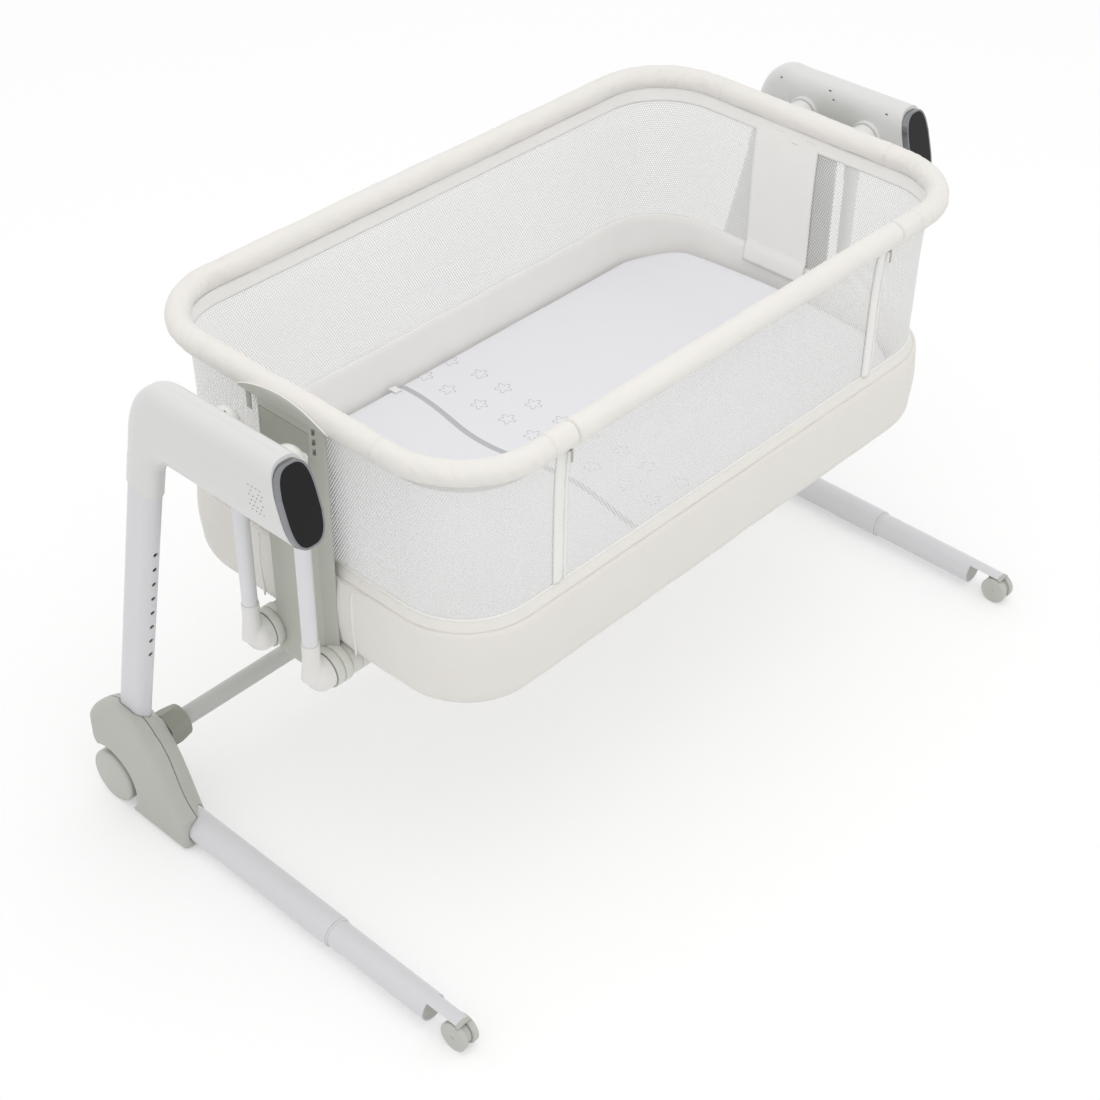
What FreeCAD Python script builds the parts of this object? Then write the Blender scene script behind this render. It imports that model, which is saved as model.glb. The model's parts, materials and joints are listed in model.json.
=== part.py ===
"""Rocking bedside bassinet on a height-adjustable stand.

Frame: +Z up, X along the cot, -Y towards the drop side and the feet's casters.
The origin lies on the floor in the middle of the object's outer box.  The
"near" end is at -X, the "far" end at +X; the ends mirror each other.  All
sizes are in millimetres.
"""
import FreeCAD, Part
import math
import os

Vec = FreeCAD.Vector
AXIS_X, AXIS_Y, AXIS_Z = Vec(1, 0, 0), Vec(0, 1, 0), Vec(0, 0, 1)

# ---- clearances -----------------------------------------------------------
SEAT = 0.15            # between pieces of one body that seat in each other
RUN = 0.05             # radial clearance of a pin in its bore
SLIDE = 0.35           # between telescoping tubes and their bushes
AIR = 0.3              # between soft parts and their neighbours
GAP = 1.0              # visible running gap between moving housings

# ---- basket: padded rim, mesh walls, padded base --------------------------
BASKET_Y = 31.0        # the basket hangs this far behind the origin
RIM_A = 450.0          # half length of the rim's centre line
RIM_B = 258.0          # half width of the rim's centre line
RIM_R = 103.0          # corner radius of the rim's centre line
RIM_Z = 684.0          # height of the rim's centre line
RIM_TUBE_R = 9.5       # steel rim tube
RIM_PAD_R = 15.0       # padded sleeve round the tube
RAIL_HALF = 290.0      # half length of the front rail that drops
MESH_INSET = 12.0      # mesh wall, in from the rim's centre line
MESH_T = 1.2
BAND_BOTTOM = 352.0    # underside of the padded base
BAND_TOP = 465.0       # upper edge of the padded band
PIPING_Z = 479.0       # top of the flat strip above the band
BAND_ROUND = 32.0      # radius of the band's lower edge
BAND_SHOULDER = 8.0    # radius of the band's upper edge
FLOOR_T = 6.0          # quilted underside
BED_INSET = 22.0       # mattress edge, in from the rim's centre line
BED_R = 84.0           # corner radius of the mattress
BED_TOP = 420.0
BOARD_T = 12.0

# ---- end plates that carry the basket -------------------------------------
PLATE_FACE = 42.0      # half width of the plate's flat face
PLATE_BACK = 60.0      # half width where the plate meets the basket
PLATE_DEPTH = 13.7
PLATE_WALL = 3.0
PLATE_BOTTOM = 314.0
PLATE_TOP = 677.0
PANEL_BOTTOM = 614.0   # cover panel in the upper part of the plate
PANEL_TOP = 664.0
PANEL_GROOVE = 1.0
PANEL_SINK = 2.6       # depth of the panel's seat
SLOT_W, SLOT_H, SLOT_PITCH = 3.4, 8.0, 13.0
SLOT_COUNT = 3
SLOT_RISE = 7.0        # top of the slots above the panel
SLOT_BACK = 2.4        # slots behind the plate's face
RIB_COUNT, RIB_T = 3, 2.4
TONGUE_T, TONGUE_W, TONGUE_L = 7.0, 60.0, 92.0
BOSS_R = 23.5          # lower pivot boss on the plate
BOSS_COLLAR_R = 22.5
BOSS_OUT = 12.0        # how far a boss stands out of the plate's face
BOSS_LEN = 24.0
COLLAR_LEN = 15.5
COLLAR_COUNT = 2       # collars stacked behind each boss

# ---- swing rods -----------------------------------------------------------
ROD_OUT = 44.0         # rods' plane outside the rim's centre line
ROD_X = RIM_A + ROD_OUT
ROD_Y = 52.0           # half distance between the two rods of an end
ROD_TOP_Z = 654.0      # upper pivots
ROD_LOW_Z = 346.0      # lower pivots
ROD_R = 9.3
ROD_WALL = 1.5
KNUCKLE_R = 20.0
ELBOW_R = 22.0
HUB_BACK = 8.0         # how far a hub bulges behind its rod's axis
SLEEVE_R = 10.6
SLEEVE_LEN = 51.0      # from the pivot to the sleeve's mouth
PIN_R = 5.0
OPEN_PIVOT = 0.3       # radial clearance at the lower pivots that only follow

# ---- arms -----------------------------------------------------------------
CAP_OUT = 20.5         # pivot caps' faces outside the rods' plane
CAP_FACE = ROD_X + CAP_OUT
CAP_R = 23.5           # pivot cap on the arm's inner face
ARM_T = 50.0
ARM_OUT = 30.0         # arm's middle plane outside the caps' faces
ARM_X = CAP_FACE + ARM_OUT
ARM_DROP = 48.0        # arm's underside below the upper pivots
ARM_H = 97.0           # height of the arm where the bend ends
ARM_RISE = 3.0         # its top climbs this much to the front end
ARM_BOTTOM = ROD_TOP_Z - ARM_DROP
ARM_TOP_BACK = ARM_BOTTOM + ARM_H
ARM_TOP_FRONT = ARM_TOP_BACK + ARM_RISE
ARM_WALL = 2.8
ARM_END_Y = -81.0      # middle of the slanted front end
OUTER_BEND_R = 58.0    # bend from the post to the arm, upper edge
INNER_BEND_R = 26.0    # the same, lower edge
BEND_STEPS = 4
ARM_SQUARE = 2.9       # squareness of the arm's oval section
END_TILT = 16.5        # degrees that the display leans back
DISPLAY_Z = ROD_TOP_Z - 0.8    # middle of the bezel's back
BEZEL_W, BEZEL_H, BEZEL_T = 49.0, 99.5, 8.5
BEZEL_TAPER = 0.6
BEZEL_RIM = 3.0
DISPLAY_T = 3.0
CAVITY_BACK_Y = 96.0
CAVITY_FRONT_GAP = 8.0
SPEAKER_R, SPEAKER_T = 16.0, 9.0
SPEAKER_Y, SPEAKER_Z = -48.0, ROD_TOP_Z - 1.0
GRILLE_HOLE_R = 1.1
GRILLE_ROWS, GRILLE_COLS, GRILLE_PITCH = 6, 4, 6.0
MOTOR_R, MOTOR_LEN = 14.0, 32.0
GEARBOX_R, GEARBOX_LEN = 16.0, 14.0
BOARD_THICK, BOARD_TALL, BOARD_LONG = 1.6, 52.0, 26.0
BOARD_IN = 3.5         # board's back inside the arm's inner wall
BOARD_BACK = 22.0      # board to the arm's slanted end

# ---- posts ----------------------------------------------------------------
POST_OUT = 9.5         # post outside the arm's middle plane
POST_X = ARM_X + POST_OUT
POST_LEAN = 12.85      # degrees forward of upright
POST_REF_Y, POST_REF_Z = 196.5, 443.0    # a point on the post's axis
POST_W, POST_T = 46.6, 25.0
POST_WALL = 1.5
POST_LOW_Z = 100.0     # lower end, inside the corner moulding
SEAM_DROP = 53.0       # seam of post and arm, below the arm's underside
POST_TOP_Z = ARM_BOTTOM - SEAM_DROP
INNER_LOW_Z = 240.0
TUBE_IN_ARM = 47.0     # how far the height tube reaches up into the arm
INNER_TOP_Z = POST_TOP_Z + TUBE_IN_ARM
BUSH_T = 1.4
BUSH_LEN = 30.0
HOLE_R = 3.2
HOLE_PITCH = 25.6
HOLE_COUNT = 8
HOLE_LOW_Z = 284.0     # lowest height hole, on the post's axis
LOCK_R = 2.8
LOCK_LEN = 12.0
ELBOW_SKIN = 1.6       # the arm's sleeve stands this much proud of the post

# ---- corner mouldings, crossbar, legs -------------------------------------
LEG_OUT = 2.0          # leg outside the post's middle plane
LEG_X = POST_X + LEG_OUT
CORNER_OUT = LEG_X + 28.0      # outer face of a moulding
CORNER_IN = LEG_X - 26.0       # its inner face
CORNER_SPLIT = LEG_X + 5.0     # seam between its halves
CORNER_BOTTOM = 4.0
CORNER_EDGE = 6.0      # rounding towards the outer face
TOE_Y = 148.0
OUTER_SLOPE = [(0, 50), (13, 61), (36, 106), (66, 148)]      # front slope: y from the toe, z
INNER_SLOPE = [(23, 18), (43, 63), (66, 108), (92, 138)]     # the same at the inner face
LOBE_Y = 329.0         # rearmost point of the lobe over the wheel
LOBE_TOP = 168.0
INNER_DROP = 24.0      # the top is this much lower at the inner face
FOOT_R = 8.0           # rubber feet under the mouldings
FOOT_Y = 190.0
BAR_Y, BAR_Z, BAR_R, BAR_WALL = 247.0, 111.5, 12.5, 1.5
BAR_IN = 9.5           # length of crossbar inside each moulding
SOCKET_R, SOCKET_LEN = 25.5, 31.0
LEG_Z = 25.8
LEG_R = 20.0
LEG_WALL = 1.6
LEG_BACK_Y = 236.0
LEG_SEAM_Y = -103.0
SLIDER_BACK_Y = 60.0
SLIDER_END_Y = -315.0
NOTCH_Z = 41.0
NOTCH_Y = -268.0
CAP_T = 5.0
PLUG_LEN = 24.0        # plug behind the notch
CAP_LIP = 1.0          # the plug reaches this far below the notch

# ---- wheels ---------------------------------------------------------------
WHEEL_Y, WHEEL_R, WHEEL_T = 293.5, 37.5, 21.0
WHEEL_GAP = 11.0       # between the wheel and its arch
AXLE_R = 4.0
CASTER_Y = -302.0      # swivel axis
CASTER_TRAIL = 9.5
CASTER_R = 19.5
CASTER_WHEEL_T = 9.0
CASTER_BODY_T = 7.6
CASTER_BODY_R = 15.5
STEM_R = 3.4
CASTER_AXLE_R = 2.4


# ---- helpers --------------------------------------------------------------
def save(shape, name):
    """Write one sub-part as its own STEP file."""
    if not shape.isValid():
        print("invalid solid:", name)
    shape.exportStep("parts/%s.step" % name)


def save_ends(shape, name):
    """Write a near-end sub-part and its mirror image at the far end."""
    save(shape, name + "_near")
    save(shape.mirror(Vec(0, 0, 0), AXIS_X), name + "_far")


def cylinder(radius, length, base, axis):
    return Part.makeCylinder(radius, length, base, axis)


def box(low, high):
    return Part.makeBox(high[0] - low[0], high[1] - low[1], high[2] - low[2], Vec(*low))


def both_ends(shape):
    """A near-end solid together with its far-end mirror image."""
    return Part.makeCompound([shape, shape.mirror(Vec(0, 0, 0), AXIS_X)])


def oval(width, height, power=2.6, count=6):
    """Closed superellipse wire in the XY plane, width along X, in four quarters."""
    turns = [AXIS_Y, -AXIS_X, -AXIS_Y, AXIS_X]
    edges = []
    for quarter in range(4):
        points = []
        for i in range(count + 1):
            angle = math.pi / 2 * (quarter + i / count)
            c, s = math.cos(angle), math.sin(angle)
            x = math.copysign(abs(c) ** (2 / power), c) * width / 2
            y = math.copysign(abs(s) ** (2 / power), s) * height / 2
            points.append(Vec(x, y, 0))
        curve = Part.BSplineCurve()
        curve.interpolate(Points=points, InitialTangent=turns[quarter],
                          FinalTangent=turns[(quarter + 1) % 4])
        edges.append(curve.toShape())
    return Part.Wire(edges)


def stadium(width, length):
    """Flat-sided oval face in the XY plane: width along X, length along Y."""
    r = width / 2
    s = length / 2 - r
    arcs = [
        Part.LineSegment(Vec(r, -s, 0), Vec(r, s, 0)).toShape(),
        Part.Arc(Vec(r, s, 0), Vec(0, s + r, 0), Vec(-r, s, 0)).toShape(),
        Part.LineSegment(Vec(-r, s, 0), Vec(-r, -s, 0)).toShape(),
        Part.Arc(Vec(-r, -s, 0), Vec(0, -s - r, 0), Vec(r, -s, 0)).toShape(),
    ]
    return Part.Face(Part.Wire(arcs))


def rounded_rectangle(half_x, half_y, radius, z):
    """Rounded rectangle wire round the basket's middle."""
    x, y, r = half_x, half_y, radius
    c = BASKET_Y
    k = r * (1 - math.sqrt(0.5))
    edges = [
        Part.LineSegment(Vec(-x + r, c - y, z), Vec(x - r, c - y, z)).toShape(),
        Part.Arc(Vec(x - r, c - y, z), Vec(x - k, c - y + k, z), Vec(x, c - y + r, z)).toShape(),
        Part.LineSegment(Vec(x, c - y + r, z), Vec(x, c + y - r, z)).toShape(),
        Part.Arc(Vec(x, c + y - r, z), Vec(x - k, c + y - k, z), Vec(x - r, c + y, z)).toShape(),
        Part.LineSegment(Vec(x - r, c + y, z), Vec(-x + r, c + y, z)).toShape(),
        Part.Arc(Vec(-x + r, c + y, z), Vec(-x + k, c + y - k, z), Vec(-x, c + y - r, z)).toShape(),
        Part.LineSegment(Vec(-x, c + y - r, z), Vec(-x, c - y + r, z)).toShape(),
        Part.Arc(Vec(-x, c - y + r, z), Vec(-x + k, c - y + k, z), Vec(-x + r, c - y, z)).toShape(),
    ]
    return Part.Wire(edges)


def basket_slab(inset, low, high, corner=None):
    """Solid with the basket's plan, inset from the rim's centre line."""
    radius = RIM_R - inset if corner is None else corner
    face = Part.Face(rounded_rectangle(RIM_A - inset, RIM_B - inset, radius, low))
    return face.extrude(Vec(0, 0, high - low))


# ---- basket ---------------------------------------------------------------
def rim_path():
    """Rim centre line without the front rail, from front corner to front corner."""
    x, y, r, z, c = RIM_A, RIM_B, RIM_R, RIM_Z, BASKET_Y
    k = r * (1 - math.sqrt(0.5))
    end = RAIL_HALF
    edges = []
    if x - r > end:
        edges.append(Part.LineSegment(Vec(end, c - y, z), Vec(x - r, c - y, z)).toShape())
    edges += [
        Part.Arc(Vec(x - r, c - y, z), Vec(x - k, c - y + k, z), Vec(x, c - y + r, z)).toShape(),
        Part.LineSegment(Vec(x, c - y + r, z), Vec(x, c + y - r, z)).toShape(),
        Part.Arc(Vec(x, c + y - r, z), Vec(x - k, c + y - k, z), Vec(x - r, c + y, z)).toShape(),
        Part.LineSegment(Vec(x - r, c + y, z), Vec(-x + r, c + y, z)).toShape(),
        Part.Arc(Vec(-x + r, c + y, z), Vec(-x + k, c + y - k, z), Vec(-x, c + y - r, z)).toShape(),
        Part.LineSegment(Vec(-x, c + y - r, z), Vec(-x, c - y + r, z)).toShape(),
        Part.Arc(Vec(-x, c - y + r, z), Vec(-x + k, c - y + k, z), Vec(-x + r, c - y, z)).toShape(),
    ]
    if x - r > end:
        edges.append(Part.LineSegment(Vec(-x + r, c - y, z), Vec(-end, c - y, z)).toShape())
    return Part.Wire(edges)


def rim_sweep(outer, inner):
    """Round tube along the rim's open path, with a bore of radius inner."""
    path = rim_path()
    start = path.OrderedVertexes[0].Point
    solids = []
    for radius in (outer, inner):
        circle = Part.Wire([Part.Circle(start, AXIS_X, radius).toShape()])
        solids.append(path.makePipeShell([circle], True, False))
    return solids[0].cut(solids[1])


def rail_tube(outer, inner, trim):
    length = 2 * (RAIL_HALF - trim)
    base = Vec(-RAIL_HALF + trim, BASKET_Y - RIM_B, RIM_Z)
    return cylinder(outer, length, base, AXIS_X).cut(cylinder(inner, length, base, AXIS_X))


def mesh_ring():
    low = PIPING_Z + AIR
    drop = math.sqrt(max((RIM_PAD_R + AIR) ** 2 - MESH_INSET ** 2, 0))
    high = RIM_Z - drop - AIR
    outer = basket_slab(MESH_INSET, low, high)
    return outer.cut(basket_slab(MESH_INSET + MESH_T, low - 1, high + 1))


def front_window():
    """Block that holds the drop side's mesh panel."""
    front = BASKET_Y - RIM_B
    return box((-RAIL_HALF, front - 5, 0), (RAIL_HALF, front + MESH_INSET + 5, 1000))


def mesh_wall():
    return mesh_ring().cut(front_window())


def mesh_front():
    side = box((-RAIL_HALF + AIR, BASKET_Y - RIM_B - 5, 0),
               (RAIL_HALF - AIR, BASKET_Y - RIM_B + MESH_INSET + 5, 1000))
    return mesh_ring().common(side)


def boss_places():
    return [BASKET_Y - ROD_Y, BASKET_Y + ROD_Y]


def boss_inner_x():
    """Inner end of the lower pivot collars, as a distance from the middle."""
    return plate_face_x() + BOSS_OUT - BOSS_LEN - COLLAR_COUNT * COLLAR_LEN


def plate_back_x():
    return RIM_A + AIR


def plate_face_x():
    return plate_back_x() + PLATE_DEPTH


def base_band():
    """Padded tub that holds the board and the mattress."""
    body = basket_slab(0, BAND_BOTTOM, BAND_TOP)
    lower = [e for e in body.Edges if e.BoundBox.ZMax < BAND_BOTTOM + 0.01]
    body = body.makeFillet(BAND_ROUND, lower)
    upper = [e for e in body.Edges if e.BoundBox.ZMin > BAND_TOP - 0.01]
    body = body.makeFillet(BAND_SHOULDER, upper)
    strip = basket_slab(MESH_INSET - 1, BAND_TOP - 10, PIPING_Z)
    body = body.fuse(strip)
    well = Part.makeLoft([
        rounded_rectangle(RIM_A - BED_INSET + AIR, RIM_B - BED_INSET + AIR, BED_R, BED_TOP),
        rounded_rectangle(RIM_A - MESH_INSET - 2, RIM_B - MESH_INSET - 2,
                          RIM_R - MESH_INSET - 2, PIPING_Z + 1)], True)
    pit = basket_slab(BED_INSET - AIR, BAND_BOTTOM + FLOOR_T, BED_TOP, BED_R)
    return cut_boss_relief(body.cut(well).cut(pit))


def cut_boss_relief(body):
    """Room for the lower pivot bosses and their collars at both ends."""
    for side in (-1, 1):
        for y in boss_places():
            start = Vec(side * (boss_inner_x() - GAP), y, ROD_LOW_Z)
            body = body.cut(cylinder(BOSS_R + GAP, RIM_A, start, Vec(side, 0, 0)))
    return body


def base_board():
    low = BAND_BOTTOM + FLOOR_T + AIR
    return cut_boss_relief(basket_slab(BED_INSET + 2, low, low + BOARD_T, BED_R))


def mattress():
    low = BAND_BOTTOM + FLOOR_T + AIR + BOARD_T + AIR
    return basket_slab(BED_INSET, low, BED_TOP, BED_R)


# ---- end plate ------------------------------------------------------------
def plate_section(inset, low, high):
    """Tapered channel section of the end plate, on the near side."""
    back, face = -plate_back_x(), -plate_face_x() + inset
    slope = (PLATE_BACK - PLATE_FACE) / PLATE_DEPTH
    half_back = PLATE_BACK - inset * math.hypot(1, slope)
    half_face = PLATE_FACE - inset * (math.hypot(1, slope) - slope)
    c = BASKET_Y
    points = [Vec(back, c - half_back, low), Vec(face, c - half_face, low),
              Vec(face, c + half_face, low), Vec(back, c + half_back, low)]
    wire = Part.makePolygon(points + [points[0]])
    return Part.Face(wire).extrude(Vec(0, 0, high - low))


def plate_slots():
    """Row of small windows in the front flank, beside the cover panel."""
    cutters = []
    slope = (PLATE_BACK - PLATE_FACE) / PLATE_DEPTH
    x = -plate_face_x() + SLOT_BACK
    y = BASKET_Y - PLATE_FACE - slope * SLOT_BACK
    angle = math.degrees(math.atan2(1, slope))
    for i in range(SLOT_COUNT):
        z = PANEL_TOP + SLOT_RISE - SLOT_H - SLOT_PITCH * i
        slot = Part.makeBox(SLOT_W, 3 * PLATE_WALL, SLOT_H, Vec(-SLOT_W / 2, -1.5 * PLATE_WALL, 0))
        slot.rotate(Vec(0, 0, 0), AXIS_Z, -angle)
        slot.translate(Vec(x, y, z))
        cutters.append(slot)
    return cutters


def end_plate():
    plate = plate_section(0, PLATE_BOTTOM, PLATE_TOP)
    rim = cylinder(RIM_PAD_R + AIR, 400, Vec(-RIM_A, BASKET_Y - 200, RIM_Z), AXIS_Y)
    plate = plate.cut(rim)
    corner_z = PLATE_BOTTOM
    lower = [e for e in plate.Edges
             if abs(e.BoundBox.ZMin - corner_z) < 0.01 and e.BoundBox.ZLength > 50]
    if lower:
        plate = plate.makeFillet(min(3.0, PLATE_WALL), lower)
    hollow = plate_section(PLATE_WALL, ROD_LOW_Z + BOSS_R + 6, PANEL_BOTTOM - 4)
    plate = plate.cut(hollow)
    low, high = ROD_LOW_Z + BOSS_R + 6, PANEL_BOTTOM - 4
    for i in range(RIB_COUNT):
        z = low + (high - low) * (i + 1) / (RIB_COUNT + 1)
        plate = plate.fuse(box((-plate_face_x() + PLATE_WALL / 2, BASKET_Y - PLATE_FACE, z - RIB_T / 2),
                               (-plate_back_x(), BASKET_Y + PLATE_FACE, z + RIB_T / 2)))
    seat = box((-plate_face_x() - 1, BASKET_Y - PLATE_FACE + 2, PANEL_BOTTOM),
               (-plate_face_x() + PANEL_SINK, BASKET_Y + PLATE_FACE - 2, PANEL_TOP))
    plate = plate.cut(seat)
    for slot in plate_slots():
        plate = plate.cut(slot)
    tongue = box((-plate_face_x() + 1, BASKET_Y - TONGUE_W / 2, BAND_BOTTOM - AIR - TONGUE_T),
                 (-plate_face_x() + TONGUE_L, BASKET_Y + TONGUE_W / 2, BAND_BOTTOM - AIR))
    plate = plate.fuse(tongue)
    for y in boss_places():
        start = Vec(-plate_face_x() - BOSS_OUT, y, ROD_LOW_Z)
        plate = plate.fuse(cylinder(BOSS_R, BOSS_LEN, start, AXIS_X))
    for y in boss_places():
        start = Vec(-plate_face_x() - BOSS_OUT - 1, y, ROD_LOW_Z)
        plate = plate.cut(cylinder(PIN_R + RUN, 2 * BOSS_LEN, start, AXIS_X))
        depth = COLLAR_COUNT * COLLAR_LEN + 2
        relief = cylinder(BOSS_R + GAP, depth, Vec(boss_joint_x(), y, ROD_LOW_Z), AXIS_X)
        plate = plate.cut(relief)
    return plate.removeSplitter()


def boss_joint_x():
    """Where a lower boss ends and its collars begin, on the near side."""
    return -plate_face_x() - BOSS_OUT + BOSS_LEN


def boss_collars():
    """Collars stacked behind the bosses, which clamp the lower pivot pins' ends."""
    collars = []
    for y in boss_places():
        for i in range(COLLAR_COUNT):
            start = Vec(boss_joint_x() + i * COLLAR_LEN + SEAT, y, ROD_LOW_Z)
            collar = cylinder(BOSS_COLLAR_R, COLLAR_LEN - SEAT, start, AXIS_X)
            rims = [e for e in collar.Edges if e.BoundBox.XLength < 0.01]
            collar = collar.makeFillet(1.5, rims)
            collars.append(collar.cut(cylinder(PIN_R + RUN, COLLAR_LEN, start, AXIS_X)))
    return Part.makeCompound(collars)


def plate_panel():
    face = -plate_face_x()
    g = PANEL_GROOVE
    low = (face + 0.2, BASKET_Y - PLATE_FACE + 2 + g * 0.3, PANEL_BOTTOM + g)
    high = (face + PANEL_SINK - SEAT, BASKET_Y + PLATE_FACE - 2 - g * 0.3, PANEL_TOP - g)
    panel = box(low, high)
    edges = [e for e in panel.Edges if e.BoundBox.XLength > 1]
    return panel.makeFillet(2.0, edges)


# ---- swing rods -----------------------------------------------------------
def rod_places():
    """Name and Y of the two rods of the near end."""
    return [("front", BASKET_Y - ROD_Y), ("rear", BASKET_Y + ROD_Y)]


def rod_tube(y):
    low = ROD_LOW_Z + SLEEVE_LEN / 2
    high = ROD_TOP_Z - SLEEVE_LEN / 2
    base = Vec(-ROD_X, y, low)
    tube = cylinder(ROD_R, high - low, base, AXIS_Z)
    return tube.cut(cylinder(ROD_R - ROD_WALL, high - low, base, AXIS_Z))


def rod_end(y, pivot_z, hub_r, face_x, direction, play):
    """Moulded end of a rod: a domed hub along X and a sleeve along Z.

    face_x is the hub's flat face, direction is +1 if the sleeve goes up, and
    play is the radial clearance round the pivot pin.
    """
    inward = 1 if face_x > -ROD_X else -1
    length = abs(face_x + ROD_X) + HUB_BACK
    dome = length * 0.62
    arc = Part.ArcOfEllipse(Part.Ellipse(Vec(0, 0, 0), hub_r, dome), math.pi, 1.5 * math.pi)
    turn = FreeCAD.Matrix(0, 1, 0, dome, 0, 0, 0, 0, -1, 0, 0, 0, 0, 0, 0, 1)
    quarter = arc.toShape().transformGeometry(turn)
    outline = Part.Wire(Part.sortEdges([
        quarter,
        Part.LineSegment(Vec(dome, 0, hub_r), Vec(length, 0, hub_r)).toShape(),
        Part.LineSegment(Vec(length, 0, hub_r), Vec(length, 0, 0)).toShape(),
        Part.LineSegment(Vec(length, 0, 0), Vec(0, 0, 0)).toShape(),
    ])[0])
    hub = Part.Face(outline).revolve(Vec(0, 0, 0), AXIS_X, 360)
    if inward < 0:
        hub.rotate(Vec(0, 0, 0), AXIS_Z, 180)
    hub.translate(Vec(-ROD_X - inward * HUB_BACK, y, pivot_z))
    rings = [(0, SLEEVE_R * 1.3), (0.62, SLEEVE_R), (1.0, SLEEVE_R)]
    sleeve = Part.makeLoft([
        Part.Wire([Part.Circle(Vec(-ROD_X, y, pivot_z + direction * SLEEVE_LEN * share),
                               AXIS_Z, radius).toShape()])
        for share, radius in rings], True, True)
    body = hub.fuse(sleeve)
    bore_low = pivot_z + SLEEVE_LEN / 2 - SEAT if direction > 0 else pivot_z - SLEEVE_LEN - 1
    bore = cylinder(ROD_R + SEAT / 2, SLEEVE_LEN / 2 + 1 + SEAT, Vec(-ROD_X, y, bore_low), AXIS_Z)
    body = body.cut(bore)
    pin_start = Vec(face_x + inward * 1, y, pivot_z)
    return body.cut(cylinder(PIN_R + play, abs(face_x + ROD_X) + 3, pin_start, Vec(-inward, 0, 0)))


def rod_ends(y, play):
    """Upper knuckle and lower elbow of one rod; play is that of the lower pivot."""
    top = rod_end(y, ROD_TOP_Z, KNUCKLE_R, -(CAP_FACE - GAP), -1, RUN)
    low = rod_end(y, ROD_LOW_Z, ELBOW_R, -(plate_face_x() + BOSS_OUT + GAP), 1, play)
    return Part.makeCompound([top, low])


def lower_pins():
    """Pins fixed in the basket's bosses, on which the rods' elbows turn."""
    pins = []
    end = -ROD_X - SEAT
    for y in boss_places():
        length = boss_joint_x() + COLLAR_COUNT * COLLAR_LEN - end
        pins.append(cylinder(PIN_R, length, Vec(end, y, ROD_LOW_Z), AXIS_X))
    return Part.makeCompound(pins)


def upper_pins():
    """Pins fixed in the arm, on which the rods' knuckles turn."""
    pins = []
    for y in boss_places():
        start = -ARM_X + 6
        pin = cylinder(PIN_R, -ROD_X + SEAT - start, Vec(start, y, ROD_TOP_Z), AXIS_X)
        pins.append(pin)
    return Part.makeCompound(pins)


# ---- arm ------------------------------------------------------------------
def post_direction():
    lean = math.radians(POST_LEAN)
    return Vec(0, -math.sin(lean), math.cos(lean))


def post_point(z, x=None):
    """Point on the near post's axis at height z."""
    y = POST_REF_Y - math.tan(math.radians(POST_LEAN)) * (z - POST_REF_Z)
    return Vec(-POST_X if x is None else x, y, z)


def place_section(wire, centre, normal):
    """Put an XY-plane section square to normal; its local Y stays in the YZ plane."""
    placed = wire.copy()
    side = AXIS_X
    up = normal.cross(side)
    matrix = FreeCAD.Matrix(side.x, up.x, normal.x, centre.x,
                            side.y, up.y, normal.y, centre.y,
                            side.z, up.z, normal.z, centre.z,
                            0, 0, 0, 1)
    placed.transformShape(matrix)
    return placed


def bend_points():
    """Upper and lower edge of the bend as pairs of (y, z) points, post to arm.

    Every pair lies on a ray from the centre of the lower edge's bend.
    """
    lean = math.radians(POST_LEAN)
    axis = post_point(POST_TOP_Z)
    half = POST_W / 2 + ELBOW_SKIN

    def edge_y(side, z):
        return axis.y + side * half / math.cos(lean) - math.tan(lean) * (z - axis.z)

    centre_z = ARM_BOTTOM - INNER_BEND_R
    centre_y = edge_y(-1, centre_z) - INNER_BEND_R / math.cos(lean)
    arc_z = ARM_TOP_BACK - OUTER_BEND_R
    arc_y = edge_y(1, arc_z) - OUTER_BEND_R / math.cos(lean)

    def upper_edge(angle):
        """Where a ray from the lower bend's centre meets the upper edge."""
        c, s = math.cos(angle), math.sin(angle)
        reach = (INNER_BEND_R + 2 * half) / math.cos(angle - lean)
        if centre_z + reach * s > arc_z + OUTER_BEND_R * math.sin(lean):
            reach = (ARM_TOP_BACK - centre_z) / s
            if centre_y + reach * c > arc_y:
                dy, dz = centre_y - arc_y, centre_z - arc_z
                along = dy * c + dz * s
                reach = -along + math.sqrt(along ** 2 - dy ** 2 - dz ** 2 + OUTER_BEND_R ** 2)
        return centre_y + reach * c, centre_z + reach * s

    pairs = [((axis.y + half * math.cos(lean), axis.z + half * math.sin(lean)),
              (axis.y - half * math.cos(lean), axis.z - half * math.sin(lean)))]
    for i in range(BEND_STEPS + 1):
        angle = lean + (math.pi / 2 - lean) * i / BEND_STEPS
        lower = (centre_y + INNER_BEND_R * math.cos(angle), centre_z + INNER_BEND_R * math.sin(angle))
        pairs.append((upper_edge(angle), lower))
    return pairs


def arm_sections():
    """Oval sections of the arm's bend, and of its straight part past its front end."""
    pairs = bend_points()
    thin = POST_T + 2 * ELBOW_SKIN
    sections = []
    for i, (upper, lower) in enumerate(pairs):
        grow = max(0, i - 1) / BEND_STEPS
        x = -POST_X + (POST_X - ARM_X) * grow
        sections.append((upper, lower, thin + (ARM_T - thin) * grow, x))
    stop = ARM_END_Y - 50
    sections.append(((stop, ARM_TOP_FRONT), (stop, ARM_BOTTOM), ARM_T, -ARM_X))
    wires = []
    for upper, lower, thickness, x in sections:
        rise = Vec(0, upper[0] - lower[0], upper[1] - lower[1])
        height = rise.Length
        rise.normalize()
        centre = Vec(x, (upper[0] + lower[0]) / 2, (upper[1] + lower[1]) / 2)
        wires.append(place_section(oval(thickness, height, ARM_SQUARE), centre, AXIS_X.cross(rise)))
    return wires


def end_normal():
    tilt = math.radians(END_TILT)
    return Vec(0, -math.cos(tilt), math.sin(tilt))


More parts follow.
